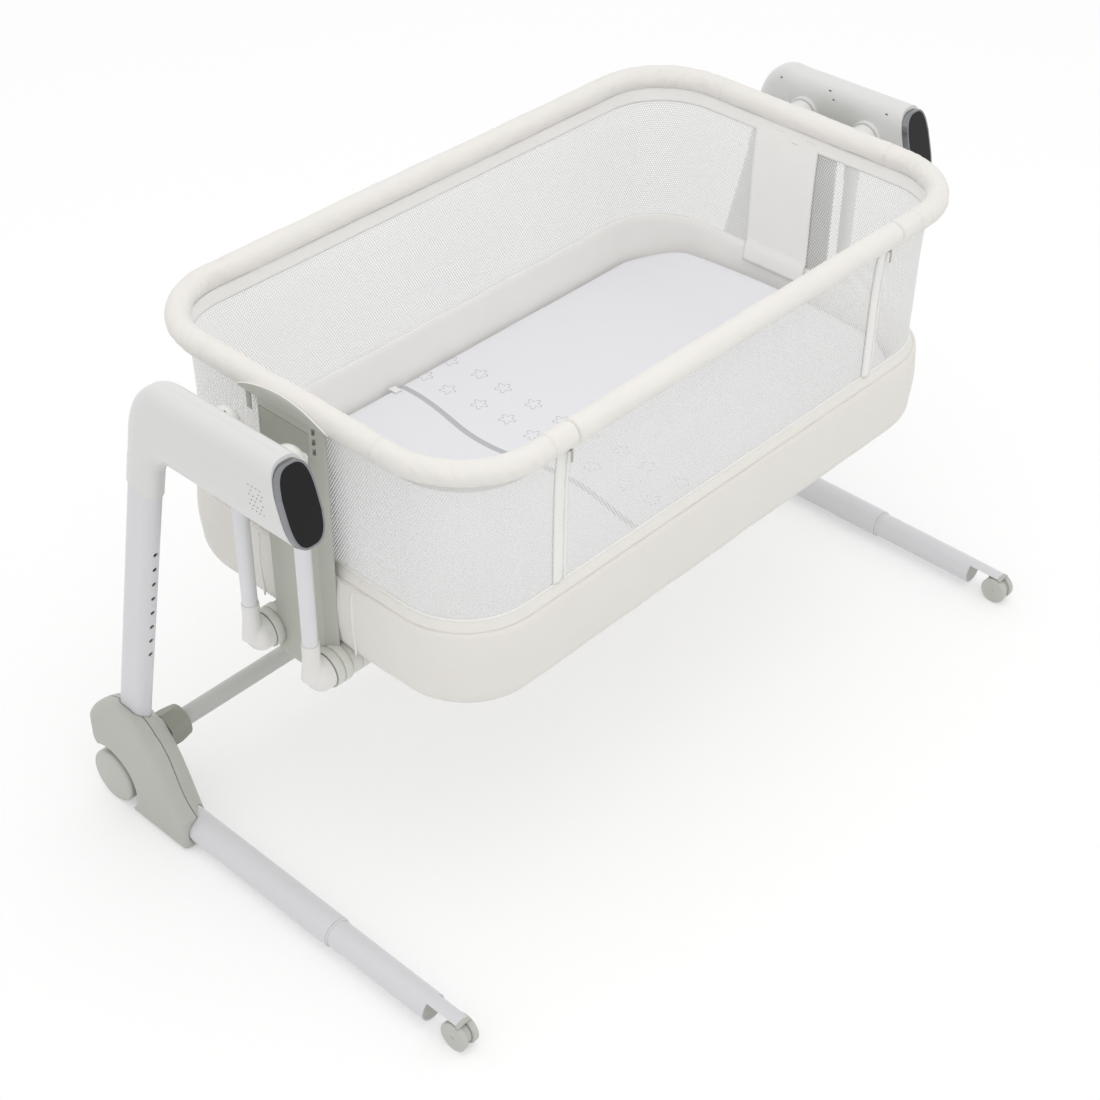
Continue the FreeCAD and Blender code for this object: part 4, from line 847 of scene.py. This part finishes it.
def sleeve_radius(travel, angle, seams):
    """Radius of the padded sleeve, with its seams, puckers and soft unevenness."""
    around = Vector((math.cos(angle), math.sin(angle), travel * 30)) * 1.7
    radius = PAD_R - 0.0002 + 0.0006 * noise.noise(around)
    radius += 0.0009 * noise.noise(Vector((travel * 14, math.sin(angle) * 0.8, math.cos(angle) * 0.8)))
    share = corner_share(travel)
    crumple = share * max(0.0, -math.cos(angle)) * 0.0012
    radius += crumple * (noise.noise(Vector((travel * 150, angle * 0.8, 3.0))) - 0.3)
    ridge = 1 - abs(noise.noise(Vector((travel * 55 + math.sin(angle) * 0.5, math.cos(angle) * 0.9, 9.0))))
    radius -= 0.0011 * max(0.0, share) * ridge ** 12
    for seam in seams:
        off = min(abs(travel - seam), LOOP - abs(travel - seam))
        if off < 0.06:
            radius -= SEAM_DIP * math.exp(-(off / SEAM_WIDTH) ** 2)
            knot = noise.noise(Vector((math.cos(angle) * 4, math.sin(angle) * 4, seam * 50)))
            radius += 0.0013 * knot * math.exp(-off / 0.014)
    pinch = math.cos(angle + math.pi / 2 - 0.25)
    return radius - 0.0009 * max(0.0, pinch) ** 30


def sleeve(name, start, stop, seams):
    """Closed padded tube along the rim's centre line, with tucked ends."""
    travels = steps(start, stop, 0.0017)
    sides = 30
    rows = []
    for travel in travels:
        point, out = plan_at(travel)
        to_end = min(travel - start, stop - travel)
        tuck = math.sqrt(max(0.0, 1 - (1 - min(1.0, to_end / 0.005)) ** 2)) * 0.3 + 0.7
        row = []
        for j in range(sides):
            angle = 2 * math.pi * j / sides
            radius = sleeve_radius(travel, angle, seams) * tuck
            row.append(point + UP * RIM_Z + (out * math.cos(angle) + UP * math.sin(angle)) * radius)
        rows.append(row)
    climbs = [2 * math.pi * PAD_R * j / sides for j in range(sides + 1)]
    piece = skin(name, rows, travels, climbs)
    close_holes(piece)
    return piece


def inner_hem(name, start, stop):
    """Double band of the sleeve's cloth inside the netting, just under the tube."""
    travels = steps(start, stop, 0.005)
    heights = steps(RIM_Z - PAD_R - HEM_DROP, WALL_TOP - 0.0005, 0.003)

    def spot(travel, z):
        soft = 0.0006 * noise.noise(Vector((travel * 35, z * 20, 8.0)))
        return spot_at(travel, wall_inset(z) + 0.0014 + soft, z)

    climbs = [z - heights[0] for z in heights]
    piece = cloth_strip(name, rows_of(travels, heights, spot), travels, climbs, HEM_T)
    # Painted light: the hem takes the lighter copy of the band cloth.
    cover(piece, brightened_inner_cloth)
    return piece


rim_cloth = woven("ivory woven polyester", "#F1EEE9", 0.25)
corner_starts = [sum(RUNS[:i]) for i in range(len(RUNS)) if i % 2]
rim_seams = [start + CORNER * share for start in corner_starts for share in (-0.12, 1.12)]
rim_sleeve = sleeve("rim_sleeve", RAIL_HALF, LOOP - RAIL_HALF, rim_seams)
cover(rim_sleeve, rim_cloth, "rim_pad")
rail_sleeve = sleeve("rail_sleeve", -RAIL_HALF + 0.0006, RAIL_HALF - 0.0006, [])
dress(rail_sleeve, rim_cloth, "front_rail", "ivory_fabric", "rail_pad")
inner_hem("rim_hem", RAIL_HALF, LOOP - RAIL_HALF)
fold_down(inner_hem("rail_hem", -RAIL_HALF + 0.001, RAIL_HALF - 0.001))

# ---- Plate lips and the bound openings above them ------------------------------------------
# Each end plate runs on up the outer side of the rim as a thin lip. The sleeve is cut out
# over it in an arch, whose edge is bound with bias tape.
LIP_FOOT, LIP_R, LIP_T, EDGE_R = math.radians(-30), PAD_R + 0.0016, 0.0018, PAD_R + 0.0012
ARCH_TOP, ARCH_SIDE = math.radians(34), math.radians(-26)


def arch_angle(share):
    """Angle on the tube's section at which the opening's edge lies, across the plate."""
    return ARCH_SIDE + (ARCH_TOP - ARCH_SIDE) * (1 - (2 * share - 1) ** 2) ** 0.7


for name, middle, way in (("near", NEAR_END, -1), ("far", FAR_END, 1)):
    width = steps(plate_low.y - RIM_Y + 0.003, plate_high.y - RIM_Y - 0.003, 0.004)
    rows, edge = [], []
    for along in width:
        point, out = plan_at(middle + way * along)
        top = arch_angle((along - width[0]) / (width[-1] - width[0]))
        row = []
        for i in range(13):
            angle = LIP_FOOT + (top - LIP_FOOT) * i / 12
            row.append(point + UP * (RIM_Z + LIP_R * math.sin(angle)) + out * LIP_R * math.cos(angle))
        rows.append(row[::-way])
        edge.append(point + UP * (RIM_Z + EDGE_R * math.sin(top)) + out * EDGE_R * math.cos(top))
    lip = cloth_strip("plate_lip_" + name, rows, width, steps(0, 0.012, 0.001), LIP_T)
    dress(lip, plate_nylon, "basket", "olive_plastic")
    corded_edge("opening_binding_" + name, edge, 0.0011, Vector((1, 0, 0)))

# ---- Mattress ------------------------------------------------------------------------------
# Foam under a bluish white fitted sheet of cotton, with a printed wavy grey stripe and a
# border of small line-drawn stars. The sheet is pulled over a crowned pad; its far end
# climbs a little against the end wall. A plain ribbon tab is sewn in at the back edge.
STRIPE_X, STRIPE_SWAY, STRIPE_W = -0.094, 0.009, 0.0085
STRIPE_WAVE, STRIPE_CREST = 0.28, 0.235
STAR_PITCH, STAR_R, STAR_LINE = 0.050, 0.0115, 0.0010
BORDER = (-0.070, 0.028)
HEAD_START, HEAD_RUN, HEAD_RISE = 0.085, 0.065, 0.034
EDGE_ROLL = 0.014


def printed_cotton():
    """Percale of the sheet: a fine weave, a stripe by distance from a sine, and stars."""
    sockets = {"Roughness": 0.85, "IOR": 1.45, "Specular IOR Level": 0.3, "Sheen Weight": 0.15}
    material, tree, shader = start_material("printed cotton", sockets)

    place = add_node(tree, "ShaderNodeTexCoord").outputs["Object"]
    axes = add_node(tree, "ShaderNodeSeparateXYZ", {0: place})
    phase = math.pi / 2 - 2 * math.pi * STRIPE_CREST / STRIPE_WAVE
    turn = sums(tree, "MULTIPLY_ADD", axes.outputs["Y"], 2 * math.pi / STRIPE_WAVE, phase)
    bend = sums(tree, "MULTIPLY_ADD", sums(tree, "SINE", turn), STRIPE_SWAY, STRIPE_X)
    off = sums(tree, "ABSOLUTE", sums(tree, "SUBTRACT", axes.outputs["X"], bend))
    edge = {"Value": off, "From Min": STRIPE_W / 2 - 0.0004, "From Max": STRIPE_W / 2 + 0.0004}
    cloth = add_node(tree, "ShaderNodeMapRange", edge)

    settings = {"Vector": place, "Scale": 1 / STAR_PITCH, "Randomness": 0.12}
    cells = add_node(tree, "ShaderNodeTexVoronoi", settings, voronoi_dimensions="2D")
    arm = vectors(tree, "SUBTRACT", place, cells.outputs["Position"])
    reach = add_node(tree, "ShaderNodeSeparateXYZ", {0: arm})
    points = sums(tree, "MULTIPLY", sums(tree, "ARCTAN2", reach.outputs["Y"], reach.outputs["X"]), 5.0)
    squares = [sums(tree, "POWER", reach.outputs[axis], 2.0) for axis in ("X", "Y")]
    far = sums(tree, "SQRT", sums(tree, "ADD", *squares))
    outline = sums(tree, "MULTIPLY_ADD", sums(tree, "COSINE", points), STAR_R * 0.22, STAR_R * 0.75)
    gap = sums(tree, "ABSOLUTE", sums(tree, "SUBTRACT", far, outline))
    inside = sums(tree, "MULTIPLY", sums(tree, "GREATER_THAN", axes.outputs["X"], BORDER[0]),
                  sums(tree, "LESS_THAN", axes.outputs["X"], BORDER[1]))
    ink = {"Value": gap, "From Min": STAR_LINE / 2 + 0.0003, "From Max": STAR_LINE / 2 - 0.0003}
    star = sums(tree, "MULTIPLY", add_node(tree, "ShaderNodeMapRange", ink).outputs["Result"], inside)

    dyes = {0: cloth.outputs["Result"], 6: linear("#BFC0C4"), 7: linear("#ECECF0")}
    striped = add_node(tree, "ShaderNodeMix", dyes, data_type="RGBA")
    inks = {0: star, 6: striped.outputs[2], 7: linear("#A9ABAF")}
    drawn = add_node(tree, "ShaderNodeMix", inks, data_type="RGBA")
    tree.links.new(drawn.outputs[2], shader.inputs["Base Color"])
    weave = add_node(tree, "ShaderNodeTexNoise", {"Vector": place, "Scale": 1000 / 1.2, "Detail": 2.0})
    add_bump(tree, shader, weave.outputs["Fac"], 0.04)
    return material


def bed_height(x, y):
    """Top of the sheet: crowned, softly uneven, and climbing at the far end."""
    climb = min(1.0, max(0.0, (x - RIM_A + HEAD_START) / HEAD_RUN))
    rise = HEAD_RISE * climb ** 2 * (3 - 2 * climb)
    across = (y - RIM_Y) / (RIM_B - BED_INSET)
    rise *= max(0.0, 1 - abs(across) ** 3)
    soft = 0.0012 * noise.noise(Vector((x * 9, y * 9, 2.0)))
    return rise + soft + 0.0005 * noise.noise(Vector((x * 30, y * 22, 5.0)))


def mattress_pad():
    """Closed pad: its edge is rounded like a cushion's, its top follows bed_height."""
    half_x, half_y = RIM_A - BED_INSET - 0.0012, RIM_B - BED_INSET - 0.0012
    radius = RIM_R - BED_INSET
    across, along = 90, 160
    spots = {}
    work = bmesh.new()
    thick = bed_high.z - bed_low.z
    for side in (1, -1):
        for i in range(along + 1):
            for j in range(across + 1):
                u, v = 2 * i / along - 1, 2 * j / across - 1
                x, y = u * half_x, v * half_y
                over_x, over_y = abs(x) - half_x + radius, abs(y) - half_y + radius
                if over_x > 0 and over_y > 0:
                    reach = max(over_x, over_y)
                    shrink = reach / math.hypot(over_x, over_y)
                    x = math.copysign(half_x - radius + over_x * shrink, x)
                    y = math.copysign(half_y - radius + over_y * shrink, y)
                edge = min(half_x - abs(u) * half_x, half_y - abs(v) * half_y)
                roll = 1 - min(1.0, edge / EDGE_ROLL)
                height = thick / 2 * math.sqrt(max(0.0, 1 - roll ** 2))
                z = (bed_low.z + bed_high.z) / 2 + side * height
                if side > 0:
                    z += bed_height(x, y + RIM_Y) * (1 - roll)
                shared = side < 0 and (i in (0, along) or j in (0, across))
                spots[side, i, j] = spots[1, i, j] if shared else work.verts.new((x, y + RIM_Y, z))
    for side in (1, -1):
        for i in range(along):
            for j in range(across):
                ring = [(i, j), (i + 1, j), (i + 1, j + 1), (i, j + 1)][::side]
                work.faces.new([spots[side, a, b] for a, b in ring]).smooth = True
    return link_work("mattress_pad", work)


pad = dress(mattress_pad(), printed_cotton(), "basket", "sheet", "mattress")

TAB_W, TAB_L = 0.011, 0.014
tab_y = RIM_Y + RIM_B - BED_INSET - 0.006
widths, reaches = steps(0, TAB_W, 0.0028), steps(0, TAB_L, 0.002)
lifts = [bed_high.z + 0.0012 + 0.03 * reach * (1 - reach / TAB_L) for reach in reaches]
rows = [[Vector((STRIPE_X - 0.010 + across, tab_y - reach, lift)) for reach, lift in zip(reaches, lifts)]
        for across in widths]
tab = cloth_strip("sheet_tab", rows, widths, reaches, 0.0007)
cover(tab, piping_cloth)

# ---- End panels ----------------------------------------------------------------------------
# A double layer of ivory cloth closes the netting in front of the plate at each end. It runs
# from under the rim's hem down over the top of the inner band.
PANEL_HALF, PANEL_SHIFT, PANEL_FOOT = 0.052, 0.020, 0.455


def end_panel(name, middle):
    """Slightly bulged panel inside one end wall, flat against netting and band."""
    travels = steps(-PANEL_HALF, PANEL_HALF, 0.004)
    heights = steps(PANEL_FOOT, WALL_TOP - 0.008, 0.005)

    def spot(along, z):
        u, v = along / PANEL_HALF, (z - heights[0]) / (heights[-1] - heights[0])
        bulge = 0.0016 * (1 - u ** 4) * (1 - (2 * v - 1) ** 4)
        bulge += 0.0006 * noise.noise(Vector((u * 2, v * 3, 4)))
        inset = wall_inset(z) + 0.0012
        if z < PIPING_Z + 0.004:
            inset = max(inset, WALL_INSET + 0.0046 + (PIPING_Z - z) * 0.1)
        return spot_at(middle + along, inset + bulge, z)

    climbs = [z - heights[0] for z in heights]
    piece = cloth_strip(name, rows_of(travels, heights, spot), travels, climbs, HEM_T)
    # Painted light: the panel takes the lighter copy of the band cloth.
    cover(piece, brightened_inner_cloth)


end_panel("end_panel_far", FAR_END + PANEL_SHIFT)
end_panel("end_panel_near", NEAR_END - PANEL_SHIFT)

# ---- Zips ----------------------------------------------------------------------------------
# The side drops once two white coil zips are opened, one at each front corner; a placket
# folds over each. Their tapes and coils stay on the basket, and their sliders ride on the front rail.
# A third zip, with a long tape puller, opens the cover at the near end.
ZIP_X, ZIP_W, TAPE_T, COIL_OUT = 0.2872, 0.0105, 0.0007, 0.0022
FRONTWARD = Vector((0, -1, 0))
TEETH = {"Pitch": 0.0019, "Length": 0.0013, "Thickness": 0.0024}


def upright_strip(name, start, stop, low, high, lift, bulge, thickness):
    """Upright strip of cloth on the outside of the wall, bulged and a little puckered."""
    travels, heights = steps(start, stop, (stop - start) / 8), steps(low, high, 0.005)

    def spot(travel, z):
        share = (travel - start) / (stop - start)
        pucker = 0.0007 * noise.noise(Vector((share * 2, z * 90, start * 40)))
        rise = lift + (bulge + pucker) * math.sin(math.pi * share) ** 0.7
        return spot_at(travel, wall_inset(z) - rise, z)

    rows = rows_of(travels, heights, spot)
    piece = cloth_strip(name, rows, [t - start for t in travels], [z - low for z in heights], thickness)
    return piece


def zip_slider(name, place, out, along, tab_length, tab_width, material, tab_material):
    """Cast slider with a bridge, and a puller that hangs from it."""
    side = out.cross(along).normalized()
    down = Vector((0, 0, -1))
    tab_place = place + out * 0.0042 + down * (tab_length / 2 + 0.001)
    blocks = [(place + out * 0.0016, 0.0075, 0.0062, 0.0026, along, side),
              (place + out * 0.0036, 0.0045, 0.0016, 0.0014, along, side),
              (tab_place, tab_length, tab_width, 0.0011, down, out.cross(down).normalized())]
    work = bmesh.new()
    for index, (centre, length, width, thick, lengthways, across) in enumerate(blocks):
        turn = Matrix((lengthways, across, out)).transposed().to_4x4()
        shape = Matrix.Translation(centre) @ turn @ Matrix.Diagonal((length, width, thick, 1))
        block = bmesh.ops.create_cube(work, size=1.0, matrix=shape)
        for face in {face for vert in block["verts"] for face in vert.link_faces}:
            face.material_index = int(index == len(blocks) - 1)
    bmesh.ops.recalc_face_normals(work, faces=work.faces[:])
    piece = link_work(name, work)
    piece.data.materials.append(material)
    piece.data.materials.append(tab_material)
    edges = piece.modifiers.new("edges", "BEVEL")
    edges.width, edges.segments = 0.0005, 2
    apply_modifiers(piece)
    return piece


zip_zinc = plain_material("cast zinc", {"Metallic": 1.0, "Roughness": 0.25}, "#C9C9C6", 0.2, 1.5)
old_brass = plain_material("plated brass", {"Metallic": 1.0, "Roughness": 0.35}, "#A39C84", 0.2, 1.5)
zip_nylon = moulded_plastic("nylon coil", "#F4F4F2", 0.4, 0.5, 0.01)
tab_nylon = moulded_plastic("grey tape puller", "#B9B8B0", 0.7, 0.7, 0.05)
zip_row = stitch_tree("zip coil", zip_nylon)
for name, side in ENDS:
    middle, top = side * ZIP_X, WALL_TOP - 0.006
    start, stop = middle - ZIP_W / 2, middle + ZIP_W / 2
    tape = upright_strip("zip_tape_" + name, start, stop, PIPING_Z, top, 0.0012, 0.0002, TAPE_T)
    cover(tape, piping_cloth)
    line = [spot_at(middle, wall_inset(z) - COIL_OUT, z) for z in steps(PIPING_Z + 0.001, top, 0.006)]
    coil = dress(sew("zip_coil_" + name, [line], zip_row, TEETH), None, "basket", "white_plastic")
    fold_down(tape)
    fold_down(coil)
    place = spot_at(middle, wall_inset(top) - COIL_OUT, top - 0.004)
    slider = zip_slider("zip_slider_" + name, place, FRONTWARD, UP, 0.017, 0.0036, zip_zinc, tab_nylon)
    dress(slider, None, "front_rail", "steel")
PLACKETS = {"near": (-ZIP_X - 0.016, -ZIP_X - 0.003, 0.0008, 0.0022),
            "far": (ZIP_X - 0.0165, ZIP_X - 0.002, 0.001, 0.0042)}
for name, (start, stop, lift, bulge) in PLACKETS.items():
    top = WALL_TOP - 0.002
    placket = upright_strip("zip_placket_" + name, start, stop, PIPING_Z, top, lift, bulge, 0.0008)
    cover(placket, piping_cloth)
    if name == "far":
        fold_down(placket)

end_y, end_z = 0.107, 0.662
end_x = -RIM_A + wall_inset(end_z)
place = Vector((end_x - 0.002, end_y, end_z))
outward = Vector((-1, 0, 0))
slider = zip_slider("cover_slider", place, outward, -FRONTWARD, 0.026, 0.0085, old_brass, tab_nylon)
dress(slider, None, "basket", "steel")
line = [Vector((end_x - 0.0012, y, end_z)) for y in steps(plate_high.y + 0.002, end_y, 0.006)]
dress(sew("cover_coil", [line], zip_row, TEETH), None, "basket", "white_plastic")

# ---- Floor ---------------------------------------------------------------------------------
# A pale sweep. Seen directly it is paper white with the object's soft shadow on it; light
# that bounces off it sees a plain pale floor.
bpy.ops.mesh.primitive_plane_add(size=12)
floor = bpy.context.object
floor.name = "floor"
material, tree, shader = start_material("pale floor", {"Roughness": 0.9, "Base Color": linear("#F4F4F4")})


def seen_directly(tree):
    """1 for camera, mirror and glass rays, 0 for the soft light that a surface gathers."""
    rays = add_node(tree, "ShaderNodeLightPath")
    seen = rays.outputs["Is Camera Ray"]
    for name in ("Is Glossy Ray", "Is Transmission Ray"):
        seen = sums(tree, "MAXIMUM", seen, rays.outputs[name])
    return seen


PAPER, GLOW = 0.68, 0.36
paper = add_node(tree, "ShaderNodeBsdfDiffuse", {"Color": (PAPER, PAPER, PAPER, 1)})
glow = add_node(tree, "ShaderNodeEmission", {"Color": (1, 1, 1, 1), "Strength": GLOW})
lit_paper = add_node(tree, "ShaderNodeAddShader", {0: paper.outputs[0], 1: glow.outputs[0]})
faces = {0: seen_directly(tree), 1: shader.outputs[0], 2: lit_paper.outputs[0]}
floor_mix = add_node(tree, "ShaderNodeMixShader", faces)
tree.links.new(floor_mix.outputs[0], tree.nodes["Material Output"].inputs["Surface"])
floor.data.materials.append(material)

# ---- Light ---------------------------------------------------------------------------------
# Even studio light from all round, with one large softbox high over the front.
world = bpy.data.worlds.new("studio")
bpy.context.scene.world = world
world.use_nodes = True
tree = world.node_tree
tree.nodes.clear()
soft_light = add_node(tree, "ShaderNodeBackground", {"Color": (1, 1, 1, 1), "Strength": 0.88})
white = add_node(tree, "ShaderNodeBackground", {"Color": (1, 1, 1, 1), "Strength": 1.0})
lights = {0: seen_directly(tree), 1: soft_light.outputs[0], 2: white.outputs[0]}
mix = add_node(tree, "ShaderNodeMixShader", lights)
add_node(tree, "ShaderNodeOutputWorld", {0: mix.outputs[0]})

light = bpy.data.lights.new("softbox", "AREA")
light.size, light.energy = 2.2, 11
lamp = link_data("softbox", light)
lamp.location = (-0.3, -0.6, 2.7)
lamp.rotation_euler = (Vector((0, 0, 0.3)) - lamp.location).to_track_quat("-Z", "Y").to_euler()

# ---- Camera --------------------------------------------------------------------------------
# Raised three-quarter view from the near front corner, with a short telephoto lens. The dark
# side of the studio stands behind it, where only polished pieces catch it.
CAMERA_PLACE = Vector((-1.597, -1.3974, 1.9145))
CAMERA_AHEAD = Vector((0.578, 0.530, -0.6204))
CAMERA_ROLL = math.radians(0.71)
camera = bpy.data.cameras.new("camera")
camera.sensor_width, camera.lens = 36.0, 67.0
camera.clip_end = 50
eye = link_data("camera", camera)
turn = CAMERA_AHEAD.to_track_quat("-Z", "Y").to_matrix().to_4x4()
eye.matrix_world = Matrix.Translation(CAMERA_PLACE) @ turn @ Matrix.Rotation(CAMERA_ROLL, 4, "Z")
bpy.context.scene.camera = eye
bpy.ops.mesh.primitive_plane_add(size=2.6, location=CAMERA_PLACE - CAMERA_AHEAD * 1.2)
dark_side = bpy.context.object
dark_side.name = "dark_side"
dark_side.rotation_euler = CAMERA_AHEAD.to_track_quat("-Z", "Y").to_euler()
for ray in ("visible_camera", "visible_diffuse", "visible_transmission", "visible_shadow"):
    setattr(dark_side, ray, False)
black_felt = start_material("black felt", {"Roughness": 1.0, "Base Color": linear("#181818")})[0]
dark_side.data.materials.append(black_felt)
bpy.context.scene.view_settings.view_transform = "Standard"

bpy.context.view_layer.update()
